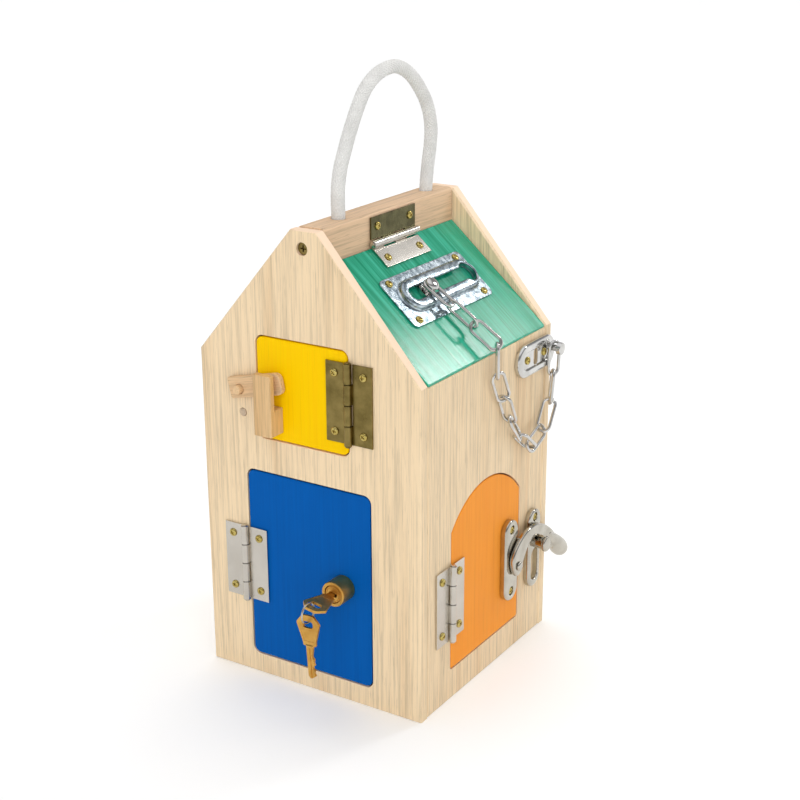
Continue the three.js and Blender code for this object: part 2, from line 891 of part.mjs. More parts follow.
piece(
  lockFrame,
  "lock_cam",
  cut(
    join(rod(camHub, [0, 0, camBottom], [0, 0, camTop], many), plate(camArm, camBottom, camTop, 0, corner)),
    plate(square(camSquare + 2 * fitGap), camBottom - overrun, camTop + overrun, 0, 1),
  ),
  "nickel",
);
const camScrewFrame = frame(
  lockFrame,
  new THREE.Vector3(0, 0, tailEnd),
  axes.x,
  axes.y.clone().negate(),
  axes.z.clone().negate(),
);
const camScrewProfile = [
  [0, -camScrewLength],
  [screwShankRadius, -camScrewLength],
  [screwShankRadius, fitGap],
  [camScrewRadius, fitGap],
  [camScrewRadius, screwRimHeight + fitGap],
  [camScrewRadius / 2, screwHeadHeight],
  [0, screwHeadHeight + fitGap],
];
piece(camScrewFrame, "cam_screw", turned(camScrewProfile, 0, 0, some), "nickel");

const holeHalf = bowHoleHeight / 2;
// Key in its own plane, its shoulder at the origin and its bow upwards
function keyBody() {
  const edge = bladeWidth / 2;
  const blade = [
    [-edge, overrun],
    [-edge, -bladeLength + bladeTip],
    [-edge / 2, -bladeLength],
    [0, -bladeLength],
  ];
  bitShares.forEach((share, i) => {
    const middle = -bladeLength + (i + 1) * bitPitch;
    const bottom = edge - bitDepth * share;
    blade.push([edge, middle - bitPitch / 2]);
    blade.push([bottom, middle - bitPitch / 8]);
    blade.push([bottom, middle + bitPitch / 8]);
  });
  blade.push([edge, overrun]);
  const rim = [[collarHalf, 0], [collarHalf, collarRise], [bowWidth / 2, bowWidest], [bowTopHalf, bowLength]];
  const outline = polygon([...rim, ...rim.map(([x, y]) => [-x, y]).reverse()]);
  const side = bowHoleWidth / 2;
  const slot = roundedRect(-side, side, bowHolePlace - holeHalf, bowHolePlace + holeHalf, bowHoleRound);
  const face = keyThickness / 2;
  return cut(
    join(plate(outline, -face, face, fitGap, corner), plate(polygon(blade), -face, face, 0, 1)),
    plate(slot, -face - overrun, face + overrun, 0, corner),
  );
}
const shoulder = plugFace + keyStandOff;
const keyFrame = frame(
  lockFrame,
  new THREE.Vector3(0, 0, shoulder),
  axes.x,
  axes.z,
  axes.y.clone().negate(),
);
piece(keyFrame, "lock_key", keyBody(), "brass");

// The ring hangs on the end strip of the bow, upright and square to the front
const strip = bowLength - bowHolePlace - holeHalf;
const stripTop = lockPlace.height + ringAlong * Math.sin(turn) + keyThickness / 2 / Math.cos(turn);
const ringInner = ringRadius - ringWire;
const ringSag = Math.sqrt(ringInner ** 2 - (ringShift + strip / 2) ** 2);
const ringAcross = lockPlace.across + ringAlong * Math.cos(turn);
const ringHeight = stripTop + ringPlay - ringSag;
const ringOut = shoulder + bowLength - strip / 2 + ringShift;
const ringGeometry = new THREE.TorusGeometry(ringRadius, ringWire, few, round);
ringGeometry.rotateY(Math.PI / 2);
ringGeometry.translate(ringAcross, ringHeight, ringOut);
piece(front, "key_ring", solid(ringGeometry), "nickel");
const spareTurn = spareKeyTilt * degree;
const spareAcross = new THREE.Vector3(Math.cos(spareTurn), Math.sin(spareTurn), 0);
const spareUp = new THREE.Vector3(-Math.sin(spareTurn), Math.cos(spareTurn), 0);
const spareDrop = bowLength - strip - ringWire - fitGap;
const spareHold = new THREE.Vector3(ringAcross, ringHeight - ringRadius, ringOut);
const spareOrigin = spareHold.addScaledVector(spareUp, -spareDrop);
const spareFrame = frame(front, spareOrigin, spareAcross, spareUp, axes.z);
piece(spareFrame, "spare_key", keyBody(), "brass");

// Hook latch
const hookRivetSpot = (depth) => [hookPivot.across, hookPivot.height, depth];
const rivetHole = (low, high) => rod(rivetRadius + fitGap, hookRivetSpot(low), hookRivetSpot(high), some);
function screwRecess([across, height], top) {
  const radius = screwHeadRadius + fitGap;
  return rod(radius, [across, height, top - castingSink], [across, height, top + overrun], some);
}
const baseShape = oblong(hookPlate.across, hookPlate.height, hookPlate.half, hookPlate.radius, true);
piece(
  side,
  "hook_base_plate",
  cut(
    join(
      cut(
        plate(baseShape, fitGap, hookPlate.thickness, castingRound, end),
        hookDoorScrews.map((spot) => screwRecess(spot, hookPlate.thickness)),
      ),
      hookDoorScrews.map((spot) => screw(...spot, hookPlate.thickness - castingSink)),
    ),
    rivetHole(castingRound, hookPlate.thickness + overrun),
  ),
  "nickel",
);
const hookLow = hookPlate.thickness + fitGap;
const hookHigh = hookLow + hookThickness;
const hookOutline = hookOutlineShares.map(([across, rise]) => {
  return new THREE.Vector2(hookPivot.across + hookLength * across, hookPivot.height + hookLength * rise);
});
const [hookStart, ...hookRest] = hookOutline;
const hookShape = new THREE.Shape();
hookShape.moveTo(hookStart.x, hookStart.y);
hookShape.splineThru([...hookRest, hookStart]);
const clubProfile = clubShares.map(([out, along]) => new THREE.Vector2(clubRadius * out, clubLength * along));
const club = new THREE.LatheGeometry(clubProfile, some);
club.rotateZ(-clubTilt * degree - Math.PI / 2);
club.translate(clubStart.across, clubStart.height, (hookLow + hookHigh) / 2);
piece(
  side,
  "hook_lever",
  cut(
    join(plate(hookShape, hookLow, hookHigh, hookEdgeRound, 1), solid(club)),
    rivetHole(hookLow - overrun, hookHigh + overrun),
  ),
  "nickel",
);
const rivetSeat = hookHigh + fitGap;
const rivetProfile = [
  [0, castingRound + fitGap],
  [rivetRadius, castingRound + fitGap],
  [rivetRadius, rivetSeat],
  [rivetHeadRadius, rivetSeat],
  [rivetHeadRadius, rivetSeat + rivetHeadHeight / 2],
  [rivetHeadRadius / 2, rivetSeat + rivetHeadHeight],
  [0, rivetSeat + rivetHeadHeight],
];
piece(side, "hook_rivet", turned(rivetProfile, hookPivot.across, hookPivot.height, some), "nickel");

const keeperOutline = oblong(hookKeeper.across, hookKeeper.height, hookKeeper.half, hookKeeper.radius, true);
const slotOutline = oblong(keeperSlot.across, keeperSlot.height, keeperSlot.half, keeperSlot.radius, true);
const stubSeat = stub.reach - stub.headDepth;
const stubProfile = [
  [0, hookKeeper.thickness - overrun],
  [stub.radius, hookKeeper.thickness - overrun],
  [stub.radius, stubSeat],
  [stub.headRadius, stubSeat + turnedEdge],
  [stub.headRadius, stub.reach - turnedEdge],
  [stub.headRadius - turnedEdge, stub.reach],
  [0, stub.reach],
];
piece(
  side,
  "hook_keeper_plate",
  join(
    cut(
      plate(keeperOutline, fitGap, hookKeeper.thickness, castingRound, end),
      plate(slotOutline, fitGap - overrun, hookKeeper.thickness + overrun, 0, end),
      screwRecess(keeperScrewSpot, hookKeeper.thickness),
    ),
    turned(stubProfile, stub.across, stub.height, many),
    screw(...keeperScrewSpot, hookKeeper.thickness - castingSink),
  ),
  "nickel",
);

// Chain track with its slider
const trackLeft = trackCentre.along - trackLength / 2;
const trackLow = -trackCentre.slope - trackWidth / 2;
const trackRight = trackLeft + trackLength;
const trackShape = roundedRect(trackLeft, trackRight, trackLow, trackLow + trackWidth, trackCorner);
const band = (start, end, width) => roundedRect(start, end, -ridgeSlope - width, -ridgeSlope + width, width);
const trackTop = fitGap + trackThickness;
const cavityStart = slotStart - cavityHalf + slotHalf;
const cavityEnd = keyholeAlong + cavityHalf;
const keyholeSpot = (depth) => [keyholeAlong, -ridgeSlope, depth];
piece(
  roof,
  "chain_track_plate",
  cut(
    join(
      plate(trackShape, fitGap, trackTop, 0, 1),
      plate(band(ridgeStart, ridgeEnd, ridgeHalf), fitGap, ridgeHeight, ridgeRound, corner),
      trackScrews.map(([across, height]) => screw(across, height, trackTop)),
    ),
    plate(band(cavityStart, cavityEnd, cavityHalf), fitGap - overrun, cavityHeight, 0, corner),
    plate(band(slotStart, keyholeAlong, slotHalf), 0, ridgeHeight + overrun, 0, corner),
    rod(keyholeRadius, keyholeSpot(0), keyholeSpot(ridgeHeight + overrun), many),
  ),
  "chrome",
);
const footLow = 2 * fitGap;
const footHigh = footLow + sliderFootHeight;
const wireHeight = ridgeHeight + fitGap + wireRadius;
const sliderSeat = wireHeight + wireRadius + fitGap;
const sliderProfile = [
  [0, footLow],
  [sliderFootRadius, footLow],
  [sliderFootRadius, footHigh],
  [sliderShankRadius, footHigh],
  [sliderShankRadius, sliderSeat],
  [sliderHeadRadius, sliderSeat],
  [sliderHeadRadius, sliderSeat + sliderHeadHeight / 3],
  [sliderHeadRadius * crownShare, sliderSeat + sliderHeadHeight * crownRiseShare],
  [0, sliderSeat + sliderHeadHeight],
];
piece(roof, "chain_slider", turned(sliderProfile, sliderAlong, -ridgeSlope, many), "chrome");

// Chain anchor on the wall
const anchorOblong = (half, radius, upright) => {
  return oblong(anchorPlace.across, anchorPlace.height, half, radius, upright);
};
const anchorShape = anchorOblong(anchorHalf, anchorRadius, false);
const recessShape = anchorOblong(anchorRecess.half, anchorRecess.radius, false);
const anchorSlotShape = anchorOblong(anchorSlot.half, anchorSlot.radius, true);
const recessFloor = anchorThickness - anchorRecess.depth;
const studSpot = (depth) => [anchorStud.across, anchorStud.height, depth];
const studTop = studSpot(anchorThickness + overrun);
const studHole = rod(anchorStud.radius + fitGap, studSpot(fitGap - overrun), studTop, some);
piece(
  side,
  "chain_anchor_plate",
  join(
    cut(
      plate(anchorShape, fitGap, anchorThickness, anchorRound, end),
      plate(recessShape, recessFloor, anchorThickness + overrun, 0, end),
      plate(anchorSlotShape, fitGap - overrun, anchorThickness + overrun, 0, end),
      studHole,
    ),
    anchorScrews.map(([across, height]) => screw(across, height, recessFloor)),
  ),
  "chrome",
);
const studProfile = [
  [0, 2 * fitGap],
  [anchorStud.radius, 2 * fitGap],
  [anchorStud.radius, anchorStud.seat],
  [anchorStud.headRadius, anchorStud.seat],
  [anchorStud.headRadius, anchorStud.reach - turnedEdge],
  [anchorStud.headRadius - turnedEdge, anchorStud.reach],
  [0, anchorStud.reach],
];
piece(side, "chain_anchor_stud", turned(studProfile, anchorStud.across, anchorStud.height, some), "chrome");

// One oblong chain link along its first axis, flat in its first two axes
function linkBody() {
  const straight = linkPitch / 2 + linkGap / 2 + wireRadius - linkHalfWidth;
  const geometry = new THREE.TorusGeometry(linkHalfWidth, wireRadius, wireSides, many);
  geometry.rotateZ(Math.PI / many);
  const position = geometry.getAttribute("position");
  for (let i = 0; i < position.count; i += 1) {
    const x = position.getX(i);
    position.setX(i, x + Math.sign(x) * straight);
  }
  return solid(geometry);
}

let linkCount = 0;
// A link from a junction along a direction, rolled away from a base plane
function link(junction, run, normal, roll) {
  const along = run.clone().normalize();
  const flat = new THREE.Vector3().crossVectors(normal, along).normalize();
  const width = flat.clone().applyAxisAngle(along, roll * degree);
  const out = new THREE.Vector3().crossVectors(along, width);
  const middle = junction.clone().addScaledVector(along, linkPitch / 2);
  linkCount += 1;
  const name = `chain_link_${String(linkCount).padStart(2, "0")}`;
  piece(frame(box, middle, along, width, out), name, linkBody(), "chrome");
  return junction.clone().addScaledVector(along, linkPitch);
}

box.updateMatrixWorld(true);
const neckHold = sliderShankRadius + linkGap / 2;
const slopeReach = slopedRolls.length * linkPitch - neckHold;
const eaveShift = eaveAlong - sliderAlong;
const eaveDip = eaveOut - wireHeight;
const eaveFall = -Math.sqrt(slopeReach ** 2 - eaveShift ** 2 - eaveDip ** 2);
const neck = roof.localToWorld(new THREE.Vector3(sliderAlong, -ridgeSlope, wireHeight));
const eave = roof.localToWorld(new THREE.Vector3(eaveAlong, -ridgeSlope + eaveFall, eaveOut));
const slopeRun = eave.clone().sub(neck).normalize();
let junction = neck.clone().addScaledVector(slopeRun, -neckHold);
for (const roll of slopedRolls) {
  junction = link(junction, slopeRun, offSlope, roll);
}

// The hanging part: two arms of links meeting at the bottom, closed by the law of cosines
const hold = side.localToWorld(new THREE.Vector3(anchorStud.across, anchorStud.height, chainPlane));
const gap = hold.clone().sub(eave);
const level = new THREE.Vector3(gap.x, gap.y, 0);
const reach = new THREE.Vector2(level.length(), gap.z);
level.normalize();
const chainNormal = new THREE.Vector3().crossVectors(level, axes.z);
const studHold = anchorStud.radius + linkGap / 2;
const step = (length, angle) => new THREE.Vector2(length, 0).rotateAround(new THREE.Vector2(), angle);
function chord(angles, firstExtra, lastExtra) {
  const sum = new THREE.Vector2();
  angles.forEach((angle, i) => {
    const extra = (i === 0 ? firstExtra : 0) + (i === angles.length - 1 ? lastExtra : 0);
    sum.add(step(linkPitch + extra, angle * degree));
  });
  return sum;
}
const frontChord = chord(frontAngles, 0, 0);
const backChord = chord(backAngles, -bottomPlay, -studHold);
const excess = frontChord.lengthSq() + reach.lengthSq() - backChord.lengthSq();
const cosine = excess / (2 * frontChord.length() * reach.length());
const signed = (vector) => Math.atan2(vector.y, vector.x);
const frontTurn = signed(reach) - Math.acos(cosine) - signed(frontChord);
const lowest = step(frontChord.length(), frontTurn + signed(frontChord));
const backTurn = signed(reach.clone().sub(lowest)) - signed(backChord);
const arms = [
  [frontAngles, frontRolls, frontTurn, 0],
  [backAngles, backRolls, backTurn, bottomPlay],
];
for (const [angles, rolls, extra, play] of arms) {
  angles.forEach((angle, i) => {
    const flat = step(1, angle * degree + extra);
    const run = level.clone().multiplyScalar(flat.x).addScaledVector(axes.z, flat.y);
    if (i === 0) {
      junction.addScaledVector(run, -play);
    }
    junction = link(junction, run, chainNormal, rolls[i]);
  });
}

// Rope handle through the beam, with a knot under each end
const ropePoints = ropeRoute.map(([along, height]) => new THREE.Vector3(0, along, height));
const ropeFirst = new THREE.Vector3(0, ropeEnds[0][0], beamBottom);
const ropeLast = new THREE.Vector3(0, ropeEnds[1][0], beamBottom);
const ropeCurve = new THREE.CatmullRomCurve3([ropeFirst, ...ropePoints, ropeLast], false, "centripetal");
const ropeCircle = polygon(
  Array.from({ length: ropeSides }, (_, i) => {
    const angle = (i * 2 * Math.PI) / ropeSides;
    return [ropeRadius * Math.cos(angle), ropeRadius * Math.sin(angle)];
  }),
);
const ropeGeometry = new THREE.ExtrudeGeometry(ropeCircle, { steps: ropeSteps, extrudePath: ropeCurve });
piece(box, "rope_handle", solid(ropeGeometry), "rope");
[["rope_knot_front", ropeEnds[0]], ["rope_knot_back", ropeEnds[1]]].forEach(([name, [along]]) => {
  const top = beamBottom - fitGap;
  const low = top - knotHeight;
  const shoulderDrop = knotHeight / 4;
  const profile = [
    [0, low],
    [knotRadius * knotEndShare, low],
    [knotRadius, low + shoulderDrop],
    [knotRadius, top - shoulderDrop],
    [knotRadius * knotEndShare, top],
    [0, top],
  ];
  piece(box, name, turned(profile, 0, along, some), "rope");
});

export default box;
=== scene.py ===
import math
import bmesh
import bpy
from mathutils import Matrix, Vector


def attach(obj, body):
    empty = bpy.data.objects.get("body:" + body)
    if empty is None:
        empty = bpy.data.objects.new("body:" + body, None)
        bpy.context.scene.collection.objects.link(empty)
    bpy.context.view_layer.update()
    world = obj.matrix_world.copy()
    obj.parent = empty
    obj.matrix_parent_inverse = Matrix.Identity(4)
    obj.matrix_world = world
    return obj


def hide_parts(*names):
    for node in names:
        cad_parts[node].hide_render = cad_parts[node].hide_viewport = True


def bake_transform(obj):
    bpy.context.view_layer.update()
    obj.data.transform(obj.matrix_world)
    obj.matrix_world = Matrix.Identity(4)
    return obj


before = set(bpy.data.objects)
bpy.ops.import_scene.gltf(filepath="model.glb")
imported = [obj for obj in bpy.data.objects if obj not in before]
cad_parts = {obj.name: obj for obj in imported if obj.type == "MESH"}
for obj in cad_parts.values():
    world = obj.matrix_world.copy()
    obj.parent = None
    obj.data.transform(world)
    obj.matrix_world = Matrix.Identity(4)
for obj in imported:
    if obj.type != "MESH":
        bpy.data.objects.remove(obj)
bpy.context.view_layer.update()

MM = 0.001
scene = bpy.context.scene
X, Y, Z = Vector((1, 0, 0)), Vector((0, 1, 0)), Vector((0, 0, 1))


def add_object(name, data):
    piece = bpy.data.objects.new(name, data)
    scene.collection.objects.link(piece)
    return piece


def axes(*directions):
    """A matrix that takes the three axes to the directions."""
    return Matrix(directions).transposed().to_4x4()


# Camera: its direction, roll, place and lens, solved from the photo's lines
CAMERA_AZIMUTH, CAMERA_RISE, CAMERA_ROLL = 32.427, 19.182, -0.246
CAMERA_PLACE = (0.5644, -0.8629, 0.5488)
SENSOR_WIDTH, FOCAL_LENGTH, FARTHEST = 36, 68.68, 200


def add_camera():
    az, el, roll = (math.radians(a) for a in (CAMERA_AZIMUTH, CAMERA_RISE, CAMERA_ROLL))
    back = Vector((math.sin(az) * math.cos(el), -math.cos(az) * math.cos(el), math.sin(el)))
    right = Vector((math.cos(az), math.sin(az), 0))
    up = back.cross(right)
    turned_right = right * math.cos(roll) + up * math.sin(roll)
    turned_up = up * math.cos(roll) - right * math.sin(roll)
    lens = bpy.data.cameras.new("camera")
    lens.sensor_fit = "HORIZONTAL"
    lens.sensor_width = SENSOR_WIDTH
    lens.lens = FOCAL_LENGTH
    lens.clip_end = FARTHEST
    camera = add_object("camera", lens)
    camera.matrix_world = Matrix.Translation(CAMERA_PLACE) @ axes(turned_right, turned_up, back)
    scene.camera = camera


add_camera()


# The house in millimetres, and the frames of its faces, as part.mjs has them
HALF_WIDE, HALF_DEEP, HALF_CROWN, BOARD = 89, 90, 10.2, 9
EAVE, TOP, ROOF_TOP = 239, 331, 308.5
ROOF_FALL, ROOF_RUN = 68.5, 78.1
APEX_SCREW, BAR_PIVOT, BAR_TILT, DOWEL = (-1, 318.9), (-51.9, 216.8), 13, (-53.8, 198.4)
LOCK_PLACE, LOCK_LEAN = (27.6, 87), -10


def face(origin, across, up, out):
    return Matrix.Translation(Vector(origin) * MM) @ axes(across, up, out)


ROOF_ANGLE = math.atan2(ROOF_FALL, ROOF_RUN)
UP_SLOPE = Vector((-math.cos(ROOF_ANGLE), 0, math.sin(ROOF_ANGLE)))
OFF_SLOPE = Vector((math.sin(ROOF_ANGLE), 0, math.cos(ROOF_ANGLE)))
WORLD = Matrix.Identity(4)
FRONT = face((0, -HALF_DEEP, 0), X, Z, -Y)
SIDE = face((HALF_WIDE, 0, 0), Y, Z, X)
ROOF = face((HALF_CROWN, 0, ROOF_TOP), Y, UP_SLOPE, OFF_SLOPE)


def within(parent, origin, across=X, up=Y, out=Z):
    return parent @ face(origin, Vector(across), Vector(up), Vector(out))


def leaning(degrees):
    """The across and up directions of a frame that leans by an angle in its face."""
    a = math.radians(degrees)
    return (math.cos(a), math.sin(a), 0), (-math.sin(a), math.cos(a), 0)


# The node tree of a material, or of the world
class Nodes:
    def __init__(self, owner, shader="Principled BSDF"):
        owner.use_nodes = True
        self.owner = owner
        self.tree = owner.node_tree
        self.shader = self.tree.nodes[shader]

    def add(self, kind, sockets=(), **values):
        node = self.tree.nodes.new(kind)
        for key, value in values.items():
            setattr(node, key, value)
        for key, value in sockets:
            node.inputs[key].default_value = value
        return node

    def set(self, socket, value):
        self.shader.inputs[socket].default_value = value

    def link(self, source, target):
        self.tree.links.new(source, target)

    # How far up a surface faces, or in the world how far up a ray points
    def height(self, output):
        place = self.add("ShaderNodeTexCoord")
        split = self.add("ShaderNodeSeparateXYZ")
        self.link(place.outputs[output], split.inputs[0])
        return split.outputs["Z"]

    # Noise with its repeats to the metre along the object's axes, which are turned first
    def noise(self, repeats, detail, rough, turn=(0, 0, 0), scale=1.0, distort=0.0):
        place = self.add("ShaderNodeTexCoord")
        sockets = (("Rotation", turn), ("Scale", [1 / r for r in repeats]))
        mapping = self.add("ShaderNodeMapping", sockets, vector_type="TEXTURE")
        self.link(place.outputs["Object"], mapping.inputs["Vector"])
        sockets = (("Scale", scale), ("Detail", detail), ("Roughness", rough), ("Distortion", distort))
        node = self.add("ShaderNodeTexNoise", sockets)
        self.link(mapping.outputs["Vector"], node.inputs["Vector"])
        return node.outputs["Fac"]

    def ramp(self, value, stops):
        node = self.add("ShaderNodeValToRGB")
        ramp = node.color_ramp
        while len(ramp.elements) < len(stops):
            ramp.elements.new(0.5)
        for element, (spot, color) in zip(ramp.elements, stops):
            element.position = spot
            element.color = (*color, 1) if isinstance(color, tuple) else (color, color, color, 1)
        self.link(value, node.inputs["Fac"])
        return node.outputs["Color"]

    def mix(self, factor, a, b, blend="MIX"):
        node = self.add("ShaderNodeMix", data_type="RGBA", blend_type=blend)
        for socket, value in (("Factor", factor), ("A", a), ("B", b)):
            target = next(s for s in node.inputs if s.name == socket and s.enabled)
            if isinstance(value, bpy.types.NodeSocket):
                self.link(value, target)
            elif isinstance(value, tuple):
                target.default_value = (*value, 1)
            else:
                target.default_value = value
        return next(s for s in node.outputs if s.enabled)

    def math(self, operation, a, b, clamp=False):
        node = self.add("ShaderNodeMath", operation=operation, use_clamp=clamp)
        for socket, value in zip(node.inputs, (a, b)):
            if isinstance(value, bpy.types.NodeSocket):
                self.link(value, socket)
            else:
                socket.default_value = value
        return node.outputs[0]

    def remap(self, value, low, high):
        node = self.add("ShaderNodeMapRange", (("To Min", low), ("To Max", high)))
        self.link(value, node.inputs["Value"])
        return node.outputs["Result"]

    def bump(self, height, strength, distance):
        node = self.add("ShaderNodeBump", (("Strength", strength), ("Distance", distance)))
        self.link(height, node.inputs["Height"])
        self.link(node.outputs["Normal"], self.shader.inputs["Normal"])

    def color(self, socket):
        self.link(socket, self.shader.inputs["Base Color"])

    def rough(self, socket):
        self.link(socket, self.shader.inputs["Roughness"])


def material(name):
    return Nodes(bpy.data.materials.new(name))


def srgb(r, g, b):
    def linear(v):
        v /= 255
        return v / 12.92 if v <= 0.04045 else ((v + 0.055) / 1.055) ** 2.4

    return (linear(r), linear(g), linear(b))


def grain(axis, along, across):
    return tuple(along if i == "XYZ".index(axis) else across for i in range(3))


# Bare wood: broad bands, fine fibres and pores along one axis, and where it faces up a painted highlight
# makes it paler
def wood(name, light, dark, axis, turn=(0, 0, 0), edge=None, shift=0.0):
    n = material(name)
    bands = n.noise(grain(axis, 1.4, 30), 3, 0.6, turn, 1.0 + shift, 0.3)
    fibres = n.noise(grain(axis, 14, 620), 5, 0.62, turn, 1.0 + shift)
    pores = n.noise(grain(axis, 60, 1700), 2, 0.5, turn)
    base = n.ramp(bands, [(0.3, dark), (0.46, light), (0.6, light), (0.78, dark)])
    streaks = n.ramp(fibres, [(0.34, 0.76), (0.54, 1.0), (0.75, 1.05)])
    specks = n.ramp(pores, [(0.28, 0.72), (0.4, 1.0)])
    color = n.mix(1.0, n.mix(1.0, base, streaks, "MULTIPLY"), specks, "MULTIPLY")
    # Painted highlight: where a surface faces up, its colour is mixed towards the paler one given as edge, as
    # if lit from above
    if edge:
        rise = n.math("SUBTRACT", n.height("Normal"), 0.4)
        color = n.mix(n.math("MULTIPLY", rise, 6.0, True), color, edge)
    n.color(color)
    n.rough(n.remap(fibres, 0.45, 0.62))
    n.bump(n.math("ADD", fibres, pores), 0.35, 0.00016)
    n.set("Specular IOR Level", 0.35)
    return n.owner


# Painted wood: the grain shows through as faint streaks under a satin varnish
def paint(name, light, dark, axis, turn=(0, 0, 0), gloss=0.45, streak=0.3, depth=0.00008, shine=0.12):
    n = material(name)
    cloud = n.noise((14, 14, 14), 3, 0.5, turn)
    fibres = n.noise(grain(axis, 8, 420), 6, 0.62, turn)
    pores = n.noise(grain(axis, 22, 1500), 2, 0.5, turn)
    base = n.mix(n.ramp(fibres, [(0.36, 0.0), (0.66, 1.0)]), dark, light)
    shaded = n.mix(1.0, base, n.ramp(cloud, [(0.3, 0.94), (0.7, 1.0)]), "MULTIPLY")
    n.color(n.mix(1.0, shaded, n.ramp(pores, [(0.27, 0.88), (0.42, 1.0)]), "MULTIPLY"))
    n.rough(n.remap(fibres, gloss - 0.06, gloss + 0.12))
    n.bump(fibres, streak, depth)
    n.set("Specular IOR Level", shine)
    return n.owner


# Metal: faint mottling, fine scratches and a little wear in its roughness
def metal(name, light, dark, low, high, strength=0.06, patch=90):
    n = material(name)
    mottle = n.noise((patch, patch, patch), 4, 0.6)
    brush = n.noise((500, 500, 60), 3, 0.6)
    n.color(n.mix(n.ramp(mottle, [(0.35, 0.0), (0.65, 1.0)]), dark, light))
    n.rough(n.remap(n.math("MULTIPLY", n.math("ADD", brush, mottle), 0.5), low, high))
    n.bump(brush, strength, 0.00006)
    n.set("Metallic", 1.0)
    return n.owner


def rope_fibre():
    n = material("rope_fibre")
    fibres = n.noise((2600, 2600, 1500), 4, 0.65)
    cloud = n.noise((60, 60, 60), 3, 0.5)
    base = n.mix(n.ramp(cloud, [(0.35, 0.0), (0.7, 1.0)]), srgb(224, 223, 220), srgb(238, 237, 234))
    n.color(n.mix(1.0, base, n.ramp(fibres, [(0.3, 0.8), (0.6, 1.0)]), "MULTIPLY"))
    n.rough(n.remap(fibres, 0.8, 1.0))
    n.bump(fibres, 0.5, 0.0002)
    n.set("Sheen Weight", 0.25)
    return n.owner


WOOD_LIGHT, WOOD_DARK = srgb(241, 216, 178), srgb(225, 194, 152)
# A paler colour painted on the gable's up-facing surfaces as a highlight
UP_FACING_HIGHLIGHT = srgb(250, 220, 190)
mat = {
    "gable": wood("gable_wood", WOOD_LIGHT, WOOD_DARK, "Z", edge=UP_FACING_HIGHLIGHT),
    "wall": wood("wall_wood", WOOD_LIGHT, srgb(224, 190, 146), "Z", shift=0.13),
    "inner": wood("inner_wood", srgb(236, 208, 170), srgb(218, 186, 146), "Y", shift=0.2),
    "beam": wood("beam_wood", srgb(228, 194, 158), srgb(210, 172, 134), "Y"),
    "peg": wood("peg_wood", srgb(232, 196, 150), srgb(212, 172, 126), "Y", shift=0.31),
    "dowel": wood("dowel_wood", srgb(200, 178, 152), srgb(182, 158, 132), "Y", shift=0.17),
    "keeper": wood("keeper_wood", srgb(224, 187, 136), srgb(206, 165, 114), "Z", shift=0.25),
    "bar": wood("bar_wood", srgb(228, 192, 148), srgb(210, 170, 126), "X", (0, math.radians(-BAR_TILT), 0)),
    "left_roof": wood("roof_wood", WOOD_LIGHT, WOOD_DARK, "X", (0, -ROOF_ANGLE, 0), shift=0.4),
    "blue": paint("blue_paint", srgb(0, 92, 176), srgb(0, 87, 168), "Z", shine=0.05),
    "yellow": paint("yellow_paint", srgb(255, 209, 0), srgb(255, 203, 0), "Z", shine=0.05),
    "orange": paint("orange_paint", srgb(253, 162, 58), srgb(249, 154, 50), "Z"),
    "green": paint(
        "green_paint", srgb(52, 188, 154), srgb(0, 144, 104), "X", (0, ROOF_ANGLE, 0), 0.14, 0.9, 0.00016, 0.5
    ),
    "nickel": metal("nickel", srgb(216, 211, 202), srgb(202, 196, 186), 0.22, 0.3, patch=30),
    "polished": metal("polished_nickel", srgb(203, 199, 188), srgb(184, 179, 167), 0.08, 0.16, strength=0.03),
    "chrome": metal("chrome", srgb(222, 221, 218), srgb(200, 199, 195), 0.05, 0.12, strength=0.03),
    "track": metal(
        "track_metal", srgb(214, 226, 232), srgb(112, 128, 138), 0.16, 0.3, strength=0.1, patch=260
    ),
    "brass": metal("brass", srgb(232, 184, 98), srgb(208, 156, 74), 0.34, 0.44),
    "zinc": metal("yellow_zinc", srgb(214, 196, 122), srgb(190, 168, 88), 0.14, 0.28),
    "bronze": metal("bronze", srgb(148, 130, 78), srgb(114, 99, 54), 0.22, 0.36),
    # Bronze darkened with painted shade, used on the plate of the roof hinge's frame leaf
    "painted_shade_bronze": metal("painted_shade_bronze", srgb(112, 108, 74), srgb(82, 78, 50), 0.2, 0.34),
    "rope": rope_fibre(),
}


def coat(mesh, look, smooth):
    mesh.materials.clear()
    mesh.materials.append(mat[look])
    for polygon in mesh.polygons:
        polygon.use_smooth = True
    mesh.set_sharp_from_angle(angle=math.radians(smooth))


def evaluated(piece):
    bpy.context.view_layer.update()
    graph = bpy.context.evaluated_depsgraph_get()
    return bpy.data.meshes.new_from_object(piece.evaluated_get(graph))


def bake(piece):
    made = evaluated(piece)
    piece.modifiers.clear()
    old = piece.data
    piece.data = made
    bpy.data.meshes.remove(old)


def arc(cx, cy, radius, start, end, steps):
    spots = [math.radians(start + (end - start) * i / steps) for i in range(steps + 1)]
    return [(cx + radius * math.cos(a), cy + radius * math.sin(a)) for a in spots]


def rrect(left, right, low, high, radius, steps=8, left_radius=None):
    other = left_radius or radius
    return (
        arc(right - radius, low + radius, radius, -90, 0, steps)
        + arc(right - radius, high - radius, radius, 0, 90, steps)
        + arc(left + other, high - other, other, 90, 180, steps)
        + arc(left + other, low + other, other, 180, 270, steps)
    )


def oblong(cx, cy, half, radius, upright, steps):
    reach = half - radius
    if upright:
        top = arc(cx, cy + reach, radius, 0, 180, steps)
        return top + arc(cx, cy - reach, radius, 180, 360, steps)
    side = arc(cx + reach, cy, radius, -90, 90, steps)
    return side + arc(cx - reach, cy, radius, 90, 270, steps)


def circle(cx, cy, radius, steps=32):
    return arc(cx, cy, radius, 0, 360, steps)[:-1]


